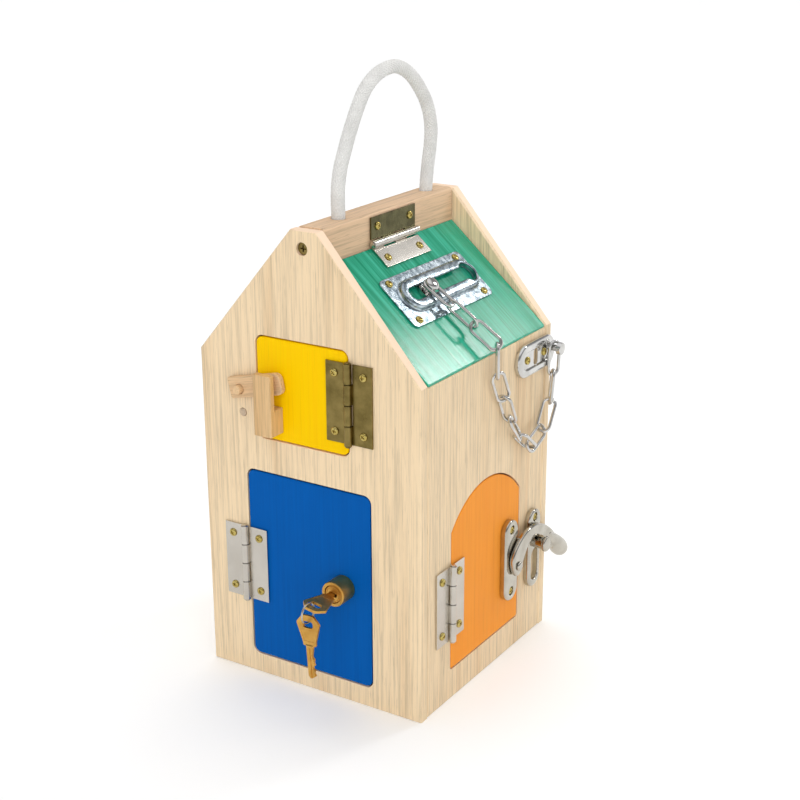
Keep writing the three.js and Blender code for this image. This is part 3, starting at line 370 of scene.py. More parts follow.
def rounded(low, high, edge, rounds=3):
    """The inset and height of each ring of a side whose two edges are rounded."""
    if edge <= 0:
        return [(0, low), (0, high)]
    turns = [math.radians(90 * i / rounds) for i in range(rounds + 1)]
    lower = [(edge * (1 - math.sin(t)), low + edge * (1 - math.cos(t))) for t in turns]
    return lower + [(inset, low + high - z) for inset, z in reversed(lower)]


def as_mesh(body, name, outward=True):
    if outward:
        bmesh.ops.recalc_face_normals(body, faces=body.faces)
    made = bpy.data.meshes.new(name)
    body.to_mesh(made)
    body.free()
    return made


def join_rings(mesh, low, high):
    """Faces between two rings of corners, either of which may be a single point."""
    count = max(len(low), len(high))
    for i in range(count):
        j = (i + 1) % count
        corners = (low[i % len(low)], low[j % len(low)], high[j % len(high)], high[i % len(high)])
        corners = list(dict.fromkeys(corners))
        if len(corners) > 2:
            mesh.faces.new(corners)


# A flat piece: the first outline is its edge and the others are holes, each with its own profile
def flat_mesh(outlines, profiles):
    mesh = bmesh.new()
    caps = {0: [], -1: []}
    for index, (points, profile) in enumerate(zip(outlines, profiles)):
        loop = [Vector(p) for j, p in enumerate(points) if math.dist(p, points[j - 1]) > 1e-4]
        area = sum(a.cross(b) for a, b in zip(loop, loop[1:] + loop[:1]))
        if area < 0:
            loop.reverse()
        way = 1 if index == 0 else -1
        shifts = []
        for j, point in enumerate(loop):
            before = (point - loop[j - 1]).normalized()
            after = (loop[(j + 1) % len(loop)] - point).normalized()
            n1, n2 = Vector((-before.y, before.x)), Vector((-after.y, after.x))
            shifts.append((n1 + n2) / (1 + n1.dot(n2)) * way)
        rings = []
        for inset, z in profile:
            ring = [point + shift * inset for point, shift in zip(loop, shifts)]
            rings.append([mesh.verts.new((p.x, p.y, z)) for p in ring])
        for low, high in zip(rings, rings[1:]):
            join_rings(mesh, low, high)
        for end in caps:
            ring = rings[end]
            caps[end] += [mesh.edges.get((ring[j], ring[j - 1])) for j in range(len(ring))]
    for end in caps:
        bmesh.ops.triangle_fill(mesh, use_beauty=True, edges=caps[end])
    return as_mesh(mesh, "flat")


def slab_mesh(outlines, low, high, edge, hole_edge=0.3, rounds=3):
    edges = [edge] + [hole_edge] * (len(outlines) - 1)
    return flat_mesh(outlines, [rounded(low, high, e, rounds) for e in edges])


# A turned piece from a profile of radius and height about the third axis
def lathe_mesh(profile, cx=0, cy=0, steps=48, closed=False):
    mesh = bmesh.new()
    rings = []
    for radius, height in profile:
        if radius < 1e-6:
            rings.append([mesh.verts.new((cx, cy, height))])
            continue
        spots = [2 * math.pi * i / steps for i in range(steps)]
        ring = [(cx + radius * math.cos(a), cy + radius * math.sin(a), height) for a in spots]
        rings.append([mesh.verts.new(p) for p in ring])
    pairs = list(zip(rings, rings[1:]))
    if closed:
        pairs.append((rings[-1], rings[0]))
    for low, high in pairs:
        join_rings(mesh, low, high)
    return as_mesh(mesh, "turned")


# A round wire along a line of points, with its ends closed unless the line closes on itself
def wire_mesh(points, radius, sides, closed=False, swell=None):
    mesh = bmesh.new()
    count = len(points)
    tangents = []
    for i in range(count):
        before = points[i - 1] if closed or i else points[i]
        after = points[(i + 1) % count] if closed or i < count - 1 else points[i]
        tangents.append((after - before).normalized())
    side = tangents[0].orthogonal().normalized()
    sides_at = [side]
    for a, b in zip(tangents, tangents[1:]):
        side = a.rotation_difference(b) @ sides_at[-1]
        sides_at.append((side - b * side.dot(b)).normalized())
    twist = 0.0
    if closed:
        last = tangents[-1].rotation_difference(tangents[0]) @ sides_at[-1]
        other = tangents[0].cross(sides_at[0])
        twist = math.atan2(last.dot(other), last.dot(sides_at[0]))
    travel = 0.0
    rings = []
    for i in range(count):
        across, tangent = sides_at[i], tangents[i]
        other = tangent.cross(across)
        if i:
            travel += (points[i] - points[i - 1]).length
        ring = []
        for j in range(sides):
            a = 2 * math.pi * j / sides - twist * i / count
            reach = radius + (swell(2 * math.pi * j / sides, travel) if swell else 0)
            offset = across * math.cos(a) + other * math.sin(a)
            ring.append(mesh.verts.new(points[i] + offset * reach))
        rings.append(ring)
    pairs = list(zip(rings, rings[1:])) + ([(rings[-1], rings[0])] if closed else [])
    for low, high in pairs:
        join_rings(mesh, low, high)
    if not closed:
        mesh.faces.new(rings[0])
        mesh.faces.new(rings[-1])
    return as_mesh(mesh, "wire")


def merged(*meshes):
    joined = bmesh.new()
    for mesh in meshes:
        joined.from_mesh(mesh)
        bpy.data.meshes.remove(mesh)
    return as_mesh(joined, "merged", outward=False)


def moved(mesh, matrix):
    mesh.transform(matrix)
    return mesh


# A turned piece with its axis laid along its face
def laid(mesh, *place):
    return moved(mesh, Matrix.Translation(place) @ Matrix.Rotation(-math.pi / 2, 4, "X"))


# Takes tools out of a mesh with exact booleans
def carved(mesh, *tools):
    body = add_object("body", mesh)
    helpers = []
    for tool in tools:
        helper = add_object("tool", tool)
        helpers.append(helper)
        modifier = body.modifiers.new("cut", "BOOLEAN")
        modifier.operation = "DIFFERENCE"
        modifier.solver = "EXACT"
        modifier.object = helper
    made = evaluated(body)
    for item in (body, *helpers):
        old = item.data
        bpy.data.objects.remove(item)
        bpy.data.meshes.remove(old)
    return made


def dress(piece, body, nodes=()):
    if body:
        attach(piece, body)
    if nodes:
        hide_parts(*nodes)
    return piece


# Meshes are drawn in millimetres in a face's frame, and their place is baked into them
def put(name, mesh, matrix, look, body, *nodes, smooth=38, weighted=True):
    mesh.transform(Matrix.Scale(MM, 4))
    mesh.transform(matrix)
    coat(mesh, look, smooth)
    piece = add_object(name, mesh)
    if weighted:
        modifier = piece.modifiers.new("flat_faces", "WEIGHTED_NORMAL")
        modifier.weight = 100
        modifier.keep_sharp = True
        bake(piece)
    return dress(piece, body, nodes)


# Low-headed screws with a crossed recess, which share one mesh
SCREW_RADIUS, SCREW_HEIGHT = 2.9, 1.5


def cross_tools(width, reach, depth, top):
    bars = []
    for a, b in ((width, reach), (reach, width)):
        tool = bmesh.new()
        corners = []
        for z, share in ((top - depth, 0.5), (top + 1, 1.15)):
            for sx, sy in ((-1, -1), (1, -1), (1, 1), (-1, 1)):
                corners.append(tool.verts.new((sx * a * share, sy * b * share, z)))
        tool.faces.new(reversed(corners[:4]))
        tool.faces.new(corners[4:])
        join_rings(tool, corners[:4], corners[4:])
        bars.append(as_mesh(tool, "bar", outward=False))
    return bars


def screw_mesh():
    radius, height = SCREW_RADIUS, SCREW_HEIGHT
    dome = [(0, -4), (1.3, -3.4), (1.3, 0), (radius * 0.95, 0), (radius, height * 0.15)]
    for i in range(1, 11):
        a = math.radians(90 * i / 10)
        dome.append((radius * math.cos(a) ** 0.6, height * (0.15 + 0.85 * math.sin(a))))
    dome[-1] = (0, height)
    made = carved(lathe_mesh(dome, steps=32), *cross_tools(0.48, 1.95, 1.0, height))
    made.transform(Matrix.Scale(MM, 4))
    coat(made, "zinc", 30)
    return made


shared_screw = screw_mesh()


def screw(name, cx, cy, seat, matrix, body, turn):
    piece = add_object(name, shared_screw)
    place = Matrix.Translation(Vector((cx, cy, seat)) * MM)
    piece.matrix_world = matrix @ place @ Matrix.Rotation(math.radians(turn), 4, "Z")
    dress(piece, body)


# Rope handle: the depth and height of its route above the beam, from the front hole to the back one
ROPE_RADIUS = 4.7
ROPE_ROUTE = [
    (-49.3, 331), (-49.2, 350), (-46.4, 363), (-40.5, 375.5), (-33.8, 387.5), (-26, 399.5),
    (-16.6, 411), (-4, 419), (9.5, 422.6), (21, 423), (32.4, 419.8), (43, 413.6),
    (53, 404.6), (61, 395), (66, 385), (68.2, 373.5), (67, 362.5), (64, 350),
    (61, 331),
]
BEAM_BOTTOM, BEAM_TOP, ROPE_HOLE = 300.6, 331.6, 5.2


def shared(p, q, low, high, t):
    return p * ((high - t) / (high - low)) + q * ((t - low) / (high - low))


def through(points, steps):
    """A smooth line through points, as a centripetal Catmull-Rom curve gives it."""
    ends = [points[0] * 2 - points[1], *points, points[-1] * 2 - points[-2]]
    line = []
    for p0, p1, p2, p3 in zip(ends, ends[1:], ends[2:], ends[3:]):
        t1 = max((p1 - p0).length, 1e-9) ** 0.5
        t2 = t1 + max((p2 - p1).length, 1e-9) ** 0.5
        t3 = t2 + max((p3 - p2).length, 1e-9) ** 0.5
        for i in range(steps):
            t = t1 + (t2 - t1) * i / steps
            a1, a2, a3 = shared(p0, p1, 0, t1, t), shared(p1, p2, t1, t2, t), shared(p2, p3, t2, t3, t)
            b1, b2 = shared(a1, a2, 0, t2, t), shared(a2, a3, t1, t3, t)
            line.append(shared(b1, b2, t1, t2, t))
    return line + [points[-1]]


# Two families of strands wind round the rope and pass over and under each other in turn
STRANDS = 12
LAY = 17.0
STRAND_CROWN = 0.15
STRAND_DEPTH = 0.7
ROPE_STEPS, ROPE_SIDES = 34, 108
KNOT_STEPS, KNOT_SIDES, KNOT_WIRE = 160, 40, 4.1
KNOT_SPREAD, KNOT_LOBE, KNOT_LOOSE = 2.3, 1.7, 1.05
KNOT_HEIGHT, KNOT_WEAVE = 292.8, 3.2


def braid(angle, travel):
    a = STRANDS * angle / (2 * math.pi) + STRANDS * travel / (LAY * 2)
    b = STRANDS * angle / (2 * math.pi) - STRANDS * travel / (LAY * 2)
    over = (math.floor(a) + math.floor(b)) % 2
    across, along = (a % 1, b % 1) if over else (b % 1, a % 1)
    crown = math.sin(math.pi * across) ** 0.7 * math.sin(math.pi * along) ** 0.35
    return STRAND_CROWN - STRAND_DEPTH * (1 - crown)


def rope():
    above = [Vector((0, y, z)) for y, z in ROPE_ROUTE]
    ends = [Vector((0, p.y, BEAM_BOTTOM)) for p in (above[0], above[-1])]
    middles = [Vector((0, p.y, (BEAM_BOTTOM + p.z) / 2)) for p in (above[0], above[-1])]
    points = [ends[0], middles[0], *above, middles[1], ends[1]]
    line = through(points, ROPE_STEPS)
    mesh = wire_mesh(line, ROPE_RADIUS, ROPE_SIDES, swell=braid)
    piece = put("handle_rope", mesh, WORLD, "rope", "house", "rope_handle", smooth=70, weighted=False)
    return piece, [p * MM for p in line]


# Trefoil knots that hold the rope under the beam
def knot(name, along, node):
    points = []
    for i in range(KNOT_STEPS):
        t = 2 * math.pi * i / KNOT_STEPS
        spread = KNOT_SPREAD + KNOT_LOBE * math.cos(3 * t)
        x = spread * math.cos(2 * t) * KNOT_LOOSE
        y = spread * math.sin(2 * t) * KNOT_LOOSE
        points.append(Vector((x, along + y, KNOT_HEIGHT + KNOT_WEAVE * math.sin(3 * t))))
    mesh = wire_mesh(points, KNOT_WIRE, KNOT_SIDES, closed=True, swell=braid)
    return put(name, mesh, WORLD, "rope", "house", node, smooth=70, weighted=False)


handle, route = rope()
ROPE_ENDS = (ROPE_ROUTE[0][0], ROPE_ROUTE[-1][0])
knots = [knot(f"{way}_knot", along, f"rope_knot_{way}") for way, along in zip(("front", "back"), ROPE_ENDS)]

# Boards
DOOR_GAP, DOOR_CORNER, ARCH_CORNER = 1, 5, 1.6
blue = dict(left=-51.6, right=49.4, low=16, high=157)
yellow = dict(left=-40.4, right=33, low=183.5, high=255.2)
orange = dict(left=-49.8, right=45.8, low=23.3, high=149, spring=126)


def door_outline(door, grow):
    box = (door["left"] - grow, door["right"] + grow, door["low"] - grow, door["high"] + grow)
    return rrect(*box, DOOR_CORNER + grow)


def arch_outline(door, grow):
    middle = (door["left"] + door["right"]) / 2
    span = (door["right"] - door["left"]) / 2
    rise = door["high"] - door["spring"]
    big = (span * span + rise * rise) / (2 * rise)
    turn = ARCH_CORNER + grow
    start = math.degrees(math.acos((span + grow) / (big + grow)))
    low = door["low"] - grow + turn
    return (
        arc(middle + span + grow - turn, low, turn, -90, 0, 5)
        + arc(middle, door["high"] - big, big + grow, start, 180 - start, 48)
        + arc(middle - span - grow + turn, low, turn, 180, 270, 5)
    )


BOARD_EDGE, OPENING_EDGE, ROUND_EDGE = 1.3, 0.45, 0.8
WALL_HALF, WALL_TOP = 80.7, 238.1
gable = [
    (-HALF_WIDE, 0), (HALF_WIDE, 0), (HALF_WIDE, EAVE),
    (HALF_CROWN, TOP), (-HALF_CROWN, TOP), (-HALF_WIDE, EAVE),
]
openings = [door_outline(blue, DOOR_GAP), door_outline(yellow, DOOR_GAP)]
openings += [circle(*APEX_SCREW, 4.4), circle(*BAR_PIVOT, 3.5), circle(*DOWEL, 2.95)]
front_board = slab_mesh([gable, *openings], -BOARD, 0, BOARD_EDGE, OPENING_EDGE)
put("front_gable_board", front_board, FRONT, "gable", "house", "front_gable")
wall = [(-WALL_HALF, 0), (WALL_HALF, 0), (WALL_HALF, WALL_TOP), (-WALL_HALF, WALL_TOP)]
wall_board = slab_mesh([wall, arch_outline(orange, DOOR_GAP)], -BOARD, 0, BOARD_EDGE, OPENING_EDGE)
put("right_wall_board", wall_board, SIDE, "wall", "house", "right_wall")
for color, outlines, edge, matrix in (
    ("blue", [door_outline(blue, 0), circle(*LOCK_PLACE, 8.3)], ROUND_EDGE, FRONT),
    ("yellow", [door_outline(yellow, 0)], 0.9, FRONT),
    ("orange", [arch_outline(orange, 0)], ROUND_EDGE, SIDE),
):
    door = f"{color}_door"
    put(door + "_board", slab_mesh(outlines, -BOARD, 0, edge), matrix, color, door, door)

# The roof door's section as the front frame shows it, cut flat where it rests on the wall
roof_section = [(11, 307.8), (11, 297.15), (77.99, 238.4), (88.3, 238.4), (88.3, 240)]
roof_board = slab_mesh([roof_section], -170, -10, 0.7)
put("green_roof_board", roof_board, FRONT, "green", "roof_door", "green_roof_door")
beam = slab_mesh([rrect(-HALF_CROWN, HALF_CROWN, BEAM_BOTTOM, BEAM_TOP, 2.2, 6)], -170.7, -9.3, 0.4)
for along in ROPE_ENDS:
    hole = lathe_mesh([(0, -1), (ROPE_HOLE, -1), (ROPE_HOLE, 40), (0, 40)])
    beam = carved(beam, laid(hole, 0, BEAM_BOTTOM - 2, -HALF_DEEP - along))
put("ridge_beam_bar", beam, FRONT, "beam", "house", "ridge_beam", smooth=30)

for node, look in (
    ("back_gable", "gable"),
    ("left_wall", "wall"),
    ("base_panel", "inner"),
    ("mid_shelf", "inner"),
    ("left_roof_panel", "left_roof"),
    ("lock_nut", "brass"),
    ("lock_cam", "nickel"),
    ("cam_screw", "nickel"),
):
    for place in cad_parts[node].material_slots:
        place.material = mat[look]

# Hinges: two leaves of folded sheet whose knuckles take turns on a pin
LEAF_REACH, LEAF_HALF, SHEET_LOW, SHEET_TOP = 18.1, 27.8, 0.3, 1.5
KNUCKLE, KNUCKLE_EDGE, BARREL, PIN, PLAY = 2.7, 0.35, 57.2, 1.3, 0.15
SCREW_OUT, SCREW_SPREAD = 11.3, 20.2
HINGE_OUT, HINGE_UP = 2.9, 2.5


def leaf_meshes(axis_height):
    inner = KNUCKLE + 0.3
    part = BARREL / 4
    outline = [(LEAF_REACH, -LEAF_HALF), (LEAF_REACH, LEAF_HALF), (inner, LEAF_HALF)]
    outline += [(inner, part - PLAY), (0, part - PLAY), (0, PLAY), (inner, PLAY)]
    outline += [(inner, -part - PLAY), (0, -part - PLAY), (0, -LEAF_HALF)]
    holes = [circle(SCREW_OUT, way * SCREW_SPREAD, 2.2, 24) for way in (-1, 1)]
    sheet = slab_mesh([outline, *holes], SHEET_LOW, SHEET_TOP, 0.22, 0.2, 2)
    knuckles = []
    for low, high in ((-2 * part + PLAY, -part - PLAY), (PLAY, part - PLAY)):
        roll = [
            (PIN + PLAY, low),
            (KNUCKLE - KNUCKLE_EDGE, low),
            (KNUCKLE, low + KNUCKLE_EDGE),
            (KNUCKLE, high - KNUCKLE_EDGE),
            (KNUCKLE - KNUCKLE_EDGE, high),
            (PIN + PLAY, high),
        ]
        knuckles.append(laid(lathe_mesh(roll, steps=32, closed=True), 0, 0, axis_height))
    return sheet, merged(*knuckles)


def pin_mesh(axis_height):
    tip = BARREL / 2 + 0.3
    end = [(PIN, tip), (1.9, tip), (1.9, tip + 0.25), (1.2, tip + 0.6), (0, tip + 0.6)]
    shaft = [(radius, -height) for radius, height in reversed(end)] + end
    return laid(lathe_mesh(shaft, steps=24), 0, 0, axis_height)


def leaf(name, matrix, axis_height, look, body, knuckle_look=None):
    sheet, knuckles = leaf_meshes(axis_height)
    put(name + "_plate", sheet, matrix, look, body, name)
    put(name + "_knuckles", knuckles, matrix, knuckle_look or look, body)
    for i, way in enumerate((-1, 1)):
        turn = 25 + 40 * i + 13 * len(name)
        spot = (SCREW_OUT, way * SCREW_SPREAD, SHEET_TOP)
        screw(f"{name}_screw_{i + 1}", *spot, matrix, body, turn)


def door_hinge(name, parent, axis, height, door_side, door_body, look):
    for part, way, body in (("frame_leaf", -door_side, "house"), ("door_leaf", door_side, door_body)):
        matrix = within(parent, (axis, height, 0), X * way, Y * way)
        leaf(f"{name}_{part}", matrix, HINGE_OUT, look, body)
    pin_place = within(parent, (axis, height, 0))
    put(name + "_rod", pin_mesh(HINGE_OUT), pin_place, look, "house", name + "_pin")


door_hinge("blue_hinge", FRONT, -54.3, 86.3, 1, "blue_door", "nickel")
door_hinge("yellow_hinge", FRONT, 35, 220.4, -1, "yellow_door", "bronze")
door_hinge("orange_hinge", SIDE, -53.3, 75.6, 1, "orange_door", "nickel")

hinge_foot = HINGE_OUT * math.sin(ROOF_ANGLE) + HINGE_UP * math.cos(ROOF_ANGLE)
hinge_slope = HINGE_OUT * math.cos(ROOF_ANGLE) - HINGE_UP * math.sin(ROOF_ANGLE)
BEAM_LEAF = face((HALF_CROWN, 0, ROOF_TOP + HINGE_UP), Z, -Y, X)
PANEL_LEAF = within(ROOF, (0, -hinge_slope, 0), -Y, X)
# The frame leaf's plate is darkened with painted shade, while its knuckles stay nickel like the other leaf
leaf("roof_hinge_frame_leaf", BEAM_LEAF, HINGE_OUT, "painted_shade_bronze", "house", "nickel")
leaf("roof_hinge_door_leaf", PANEL_LEAF, hinge_foot, "nickel", "roof_door")
put("roof_hinge_rod", pin_mesh(HINGE_OUT), BEAM_LEAF, "nickel", "house", "roof_hinge_pin")

# Countersunk screw that holds the front gable to the beam
apex = [(0, -20), (2, -18), (2, -4.6), (4.1, -2.3), (4.1, -2.05), (0, -2)]
crosses = [moved(tool, Matrix.Translation((*APEX_SCREW, -2))) for tool in cross_tools(0.6, 2.6, 1.6, 0)]
apex_mesh = carved(lathe_mesh(apex, *APEX_SCREW, 40), *crosses)
put("apex_screw_head", apex_mesh, FRONT, "bronze", "house", "apex_screw", smooth=30)

# Drop-bar latch
bar_frame = within(FRONT, (*BAR_PIVOT, 0), *leaning(BAR_TILT))
bar_outline = rrect(-9, 36, -6.2, 8.8, 4.5, 8, 1.4)
bar = slab_mesh([bar_outline, circle(0, 0, 3.5)], 0.9, 5.5, 0.9)
put("drop_bar", bar, bar_frame, "bar", "latch_bar", "latch_bar")


def peg(name, spot, radius, end, edge, look, node):
    profile = [(0, -8), (radius, -8)]
    for i in range(5):
        a = math.radians(90 * i / 4)
        profile.append((radius - edge + edge * math.cos(a), end - edge + edge * math.sin(a)))
    profile.append((0, end))
    put(name, lathe_mesh(profile, *spot, 36), FRONT, look, "house", node)


peg("bar_peg", BAR_PIVOT, 3.2, 9.4, 1.0, "peg", "latch_pin")
peg("dowel_end", DOWEL, 2.8, 0.3, 0.25, "dowel", "wall_dowel")

# The keeper's hook-shaped side, drawn outwards and up, and its width across the door
keeper_side = [(0.3, 190), (14, 190), (14, 233), (9.4, 233), (9.4, 208), (0.3, 208)]
KEEPER = face((0, -HALF_DEEP, 0), -Y, Z, X)
keeper = slab_mesh([keeper_side], -34, -19.4, 0.8)
wedge = slab_mesh([[(-26.8, 235), (-17.4, 225.6), (-17.4, 235)]], 0, 20, 0)
wedge.transform(KEEPER.inverted() @ FRONT)
put("bar_keeper", carved(keeper, wedge), KEEPER, "keeper", "yellow_door", "latch_keeper", smooth=30)

# Cylinder lock
LOCK = within(FRONT, (*LOCK_PLACE, 0), *leaning(LOCK_LEAN))
THREAD_START, THREAD_PITCH, THREADS = -11.8, 1.4, 8
threads = []
for i in range(THREADS):
    z = THREAD_START + i * THREAD_PITCH
    threads += [(8, z), (7.4, z + 0.35), (7.4, z + 0.7), (8, z + 1.05)]
rim = [(8, 0.3), (9, 0.3), (9, 0.8), (9, 13.0), (8.75, 13.6), (8.2, 13.95), (7.6, 14), (6.9, 14), (6.5, 13.7)]
case = lathe_mesh([(6.5, -12.7), (8, -12.7), *threads, *rim], steps=64, closed=True)
put("lock_case", case, LOCK, "brass", "blue_door", "lock_barrel", smooth=30)
KEYWAY = rrect(-3.2, 3.2, -1.3, 1.3, 0.3, 3)
plug = [(0, -12.7), (6.2, -12.7), (6.2, 13.0), (5.8, 13.45), (5.3, 13.5), (5.1, 13.2)]
plug += [(4.9, 13.2), (4.7, 13.5), (0, 13.5)]
plug_mesh = carved(lathe_mesh(plug, steps=56), slab_mesh([KEYWAY], -6.2, 16, 0))
tail = slab_mesh([rrect(-3.2, 3.2, -3.2, 3.2, 0.3, 2)], -16, -12.6, 0)
put("lock_core", merged(plug_mesh, tail), LOCK, "brass", "lock_plug", "lock_plug", smooth=30)

# A flat cut key, its shoulder at the origin and its bow upwards
SHOULDER_OUT, BOW, STRIP, BLADE, KEY_EDGE, KEY_HALF = 18.1, 22.4, 4.45, 24, 2.9, 1


def key_mesh():
    half_bow = [(5.15, 0), (5.15, 2.6), (9.4, 16.6), (4.3, BOW)]
    bow = half_bow + [(-x, y) for x, y in reversed(half_bow)]
    soft = []
    for before, here, after in zip([bow[-1]] + bow, bow, bow[1:] + bow[:1]):
        a, p, b = Vector(before), Vector(here), Vector(after)
        start, stop = p + (a - p).normalized() * 1.1, p + (b - p).normalized() * 1.1
        for i in range(4):
            t = i / 3
            q = start * (1 - t) ** 2 + p * (2 * t * (1 - t)) + stop * t**2
            soft.append((q.x, q.y))
    hole = rrect(-4.05, 4.05, 13.25, BOW - STRIP, 1.6, 5)
    head = slab_mesh([soft, hole], -KEY_HALF, KEY_HALF, 0.3, 0.3, 2)
    dents = []
    for way in (-1, 1):
        dent = [(-3.9, 3.4), (3.9, 3.4), (6.1, 10.2), (5.4, 11.6), (-5.4, 11.6), (-6.1, 10.2)]
        dents.append(slab_mesh([dent], way * 1.35 - 0.55, way * 1.35 + 0.55, 0.1))
    head = carved(head, *dents)
    blade = [(-KEY_EDGE, 1), (-KEY_EDGE, 2 - BLADE), (-KEY_EDGE / 2, -BLADE), (0, -BLADE)]
    for i, share in enumerate((0.5, 1, 0.4, 0.9)):
        middle = -BLADE + (i + 1) * 4
        bottom = KEY_EDGE - 1.6 * share
        blade += [(KEY_EDGE, middle - 2), (bottom, middle - 0.5), (bottom, middle + 0.5)]
    blade.append((KEY_EDGE, 1))
    blank = slab_mesh([blade], -KEY_HALF, KEY_HALF, 0.12, rounds=1)
    grooves = []
    for way, middle in ((-1, -1.2), (1, 0.3)):
        groove = rrect(middle - 0.6, middle + 0.6, -25, -1.5, 0.3, 2)
        grooves.append(slab_mesh([groove], way * 1.2 - 0.6, way * 1.2 + 0.6, 0))
    return merged(head, carved(blank, *grooves))


KEY = within(LOCK, (0, 0, SHOULDER_OUT), X, Z, -Y)
put("door_key", key_mesh(), KEY, "brass", "lock_key", "lock_key", smooth=30)

# The ring hangs on the end strip of the key's bow, and the spare key hangs in the ring
RING, RING_INNER, RING_ALONG, RING_SHIFT, RING_PLAY, RING_WIRE = 7.1, 6.3, -2.4, 0.7, 0.7, 0.46
COIL_TURNS, COIL_START, COIL_SPREAD, COIL_STEPS, SPARE_LEAN, SPARE_PLAY = 1.9, 2.4, 0.84, 140, 4, 1.1
lean = math.radians(LOCK_LEAN)
strip_top = LOCK_PLACE[1] + RING_ALONG * math.sin(lean) + KEY_HALF / math.cos(lean)
ring_x = LOCK_PLACE[0] + RING_ALONG * math.cos(lean)
ring_z = strip_top + RING_PLAY - math.sqrt(RING_INNER**2 - (RING_SHIFT + STRIP / 2) ** 2)
ring_out = SHOULDER_OUT + BOW - STRIP / 2 + RING_SHIFT
coils = []
for i in range(COIL_STEPS):
    t = i / (COIL_STEPS - 1)
    a = 2 * math.pi * COIL_TURNS * t + COIL_START
    x = ring_x - COIL_SPREAD / 2 + COIL_SPREAD * t
    coils.append(Vector((x, ring_z + RING * math.sin(a), ring_out + RING * math.cos(a))))
coil = wire_mesh(coils, RING_WIRE, 12)
put("split_ring", coil, FRONT, "polished", "key_ring", "key_ring", weighted=False)
spare_across, spare_up = leaning(SPARE_LEAN)
spare_hold = Vector((ring_x, ring_z - RING, ring_out))
spare_foot = spare_hold - Vector(spare_up) * (BOW - STRIP - SPARE_PLAY)
SPARE = within(FRONT, spare_foot, spare_across, spare_up, Z)
put("hanging_key", key_mesh(), SPARE, "brass", "spare_key", "spare_key", smooth=30)

# Hook latch
HOOK_PLATE, WELL_REACH, WELL = (27.8, 76), 24.1, 3.3
HOOK_PIVOT, HOOK_LENGTH = (30.5, 71.8), 70
CLUB_PLACE, CLUB_WIDE, CLUB_LONG, CLUB_TILT = (82, 76, 7.3), 6.7, 30.6, 43
KEEPER_PLATE, KEEPER_SLOT, KEEPER_SCREW, STUB = (64, 72), (64.6, 59), (64, 97), (65, 77)


def well_floor(spot, top):
    return lathe_mesh([(0, 0.4), (4, 0.4), (4, top), (0, top)], *spot)


plate_profile = [(1.2, 0.3), (0.15, 0.3), (0, 0.6), (0, 3.4), (0.25, 4.2), (0.8, 4.75), (1.6, 5)]
well_profile = [(0, 0.3), (0, 4.3), (0.15, 4.75), (0.5, 5)]
well_spots = [(HOOK_PLATE[0], HOOK_PLATE[1] + way * WELL_REACH) for way in (-1, 1)]
base_outlines = [oblong(*HOOK_PLATE, 31.5, 9.3, True, 20)] + [circle(*spot, WELL) for spot in well_spots]
base = flat_mesh(base_outlines, [plate_profile, well_profile, well_profile])
hook_base = merged(base, *[well_floor(spot, 3.2) for spot in well_spots])
put("hook_base", hook_base, SIDE, "polished", "orange_door", "hook_base_plate", smooth=45)
for i, spot in enumerate(well_spots):
    screw(f"hook_base_screw_{i + 1}", *spot, 3.2, SIDE, "orange_door", 50 * i)

HOOK_SHARES = [
    (-0.105, 0.025), (-0.095, 0.125), (-0.005, 0.23), (0.135, 0.305), (0.305, 0.33),
    (0.505, 0.29), (0.705, 0.175), (0.85, 0.04), (0.955, -0.075), (0.98, -0.155),
    (0.92, -0.175), (0.805, -0.11), (0.705, -0.025), (0.595, 0.09), (0.535, 0.145),
    (0.4, 0.185), (0.265, 0.17), (0.18, 0.11), (0.105, 0.005), (0.065, -0.09),
    (-0.035, -0.105),
]
CLUB_SHARES = [
    (0, -0.2), (0.3, -0.17), (0.55, 0), (0.75, 0.23), (0.9, 0.43),
    (1, 0.62), (0.99, 0.75), (0.85, 0.88), (0.5, 0.97), (0, 1),
]
hook_points = [(HOOK_PIVOT[0] + HOOK_LENGTH * x, HOOK_PIVOT[1] + HOOK_LENGTH * y) for x, y in HOOK_SHARES]


def closed_line(points, steps):
    """A smooth closed line through points."""
    line = []
    count = len(points)
    for i in range(count):
        p0, p1, p2, p3 = (Vector(points[(i + k) % count]) for k in (-1, 0, 1, 2))
        for j in range(steps):
            t = j / steps
            q = (
                p1 * 2
                + (p2 - p0) * t
                + (p0 * 2 - p1 * 5 + p2 * 4 - p3) * t**2
                + (p1 * 3 - p0 - p2 * 3 + p3) * t**3
            ) / 2
            line.append((q.x, q.y))
    return line


lever_profile = [(1.6, 5.3), (0.7, 5.45), (0.2, 5.9), (0, 6.6), (0, 7.9), (0.3, 8.6), (0.9, 9.1), (1.7, 9.3)]
lever = flat_mesh([closed_line(hook_points, 6)], [lever_profile])
# The lever ends in a round club that swells out of the flat arm
club_line = through([Vector((CLUB_WIDE * r, CLUB_LONG * along)) for r, along in CLUB_SHARES], 5)
club = lathe_mesh([(max(p.x, 0), p.y) for p in club_line], steps=48)
run = Vector(leaning(-CLUB_TILT)[0])
club_place = Matrix.Translation(CLUB_PLACE) @ axes(Z, run.cross(Z), run)
hook_arm = merged(lever, moved(club, club_place))
put("hook_arm", hook_arm, SIDE, "polished", "hook", "hook_lever", smooth=50)
rivet_cap = [(3.2, 9.6), (3.4, 9.9), (3.3, 10.5), (2.7, 11.1), (1.6, 11.35), (0, 11.4)]
rivet = lathe_mesh([(0, 1.6), (2, 1.6), (2, 9.6), *rivet_cap], *HOOK_PIVOT)
put("hook_rivet_head", rivet, SIDE, "polished", "orange_door", "hook_rivet")

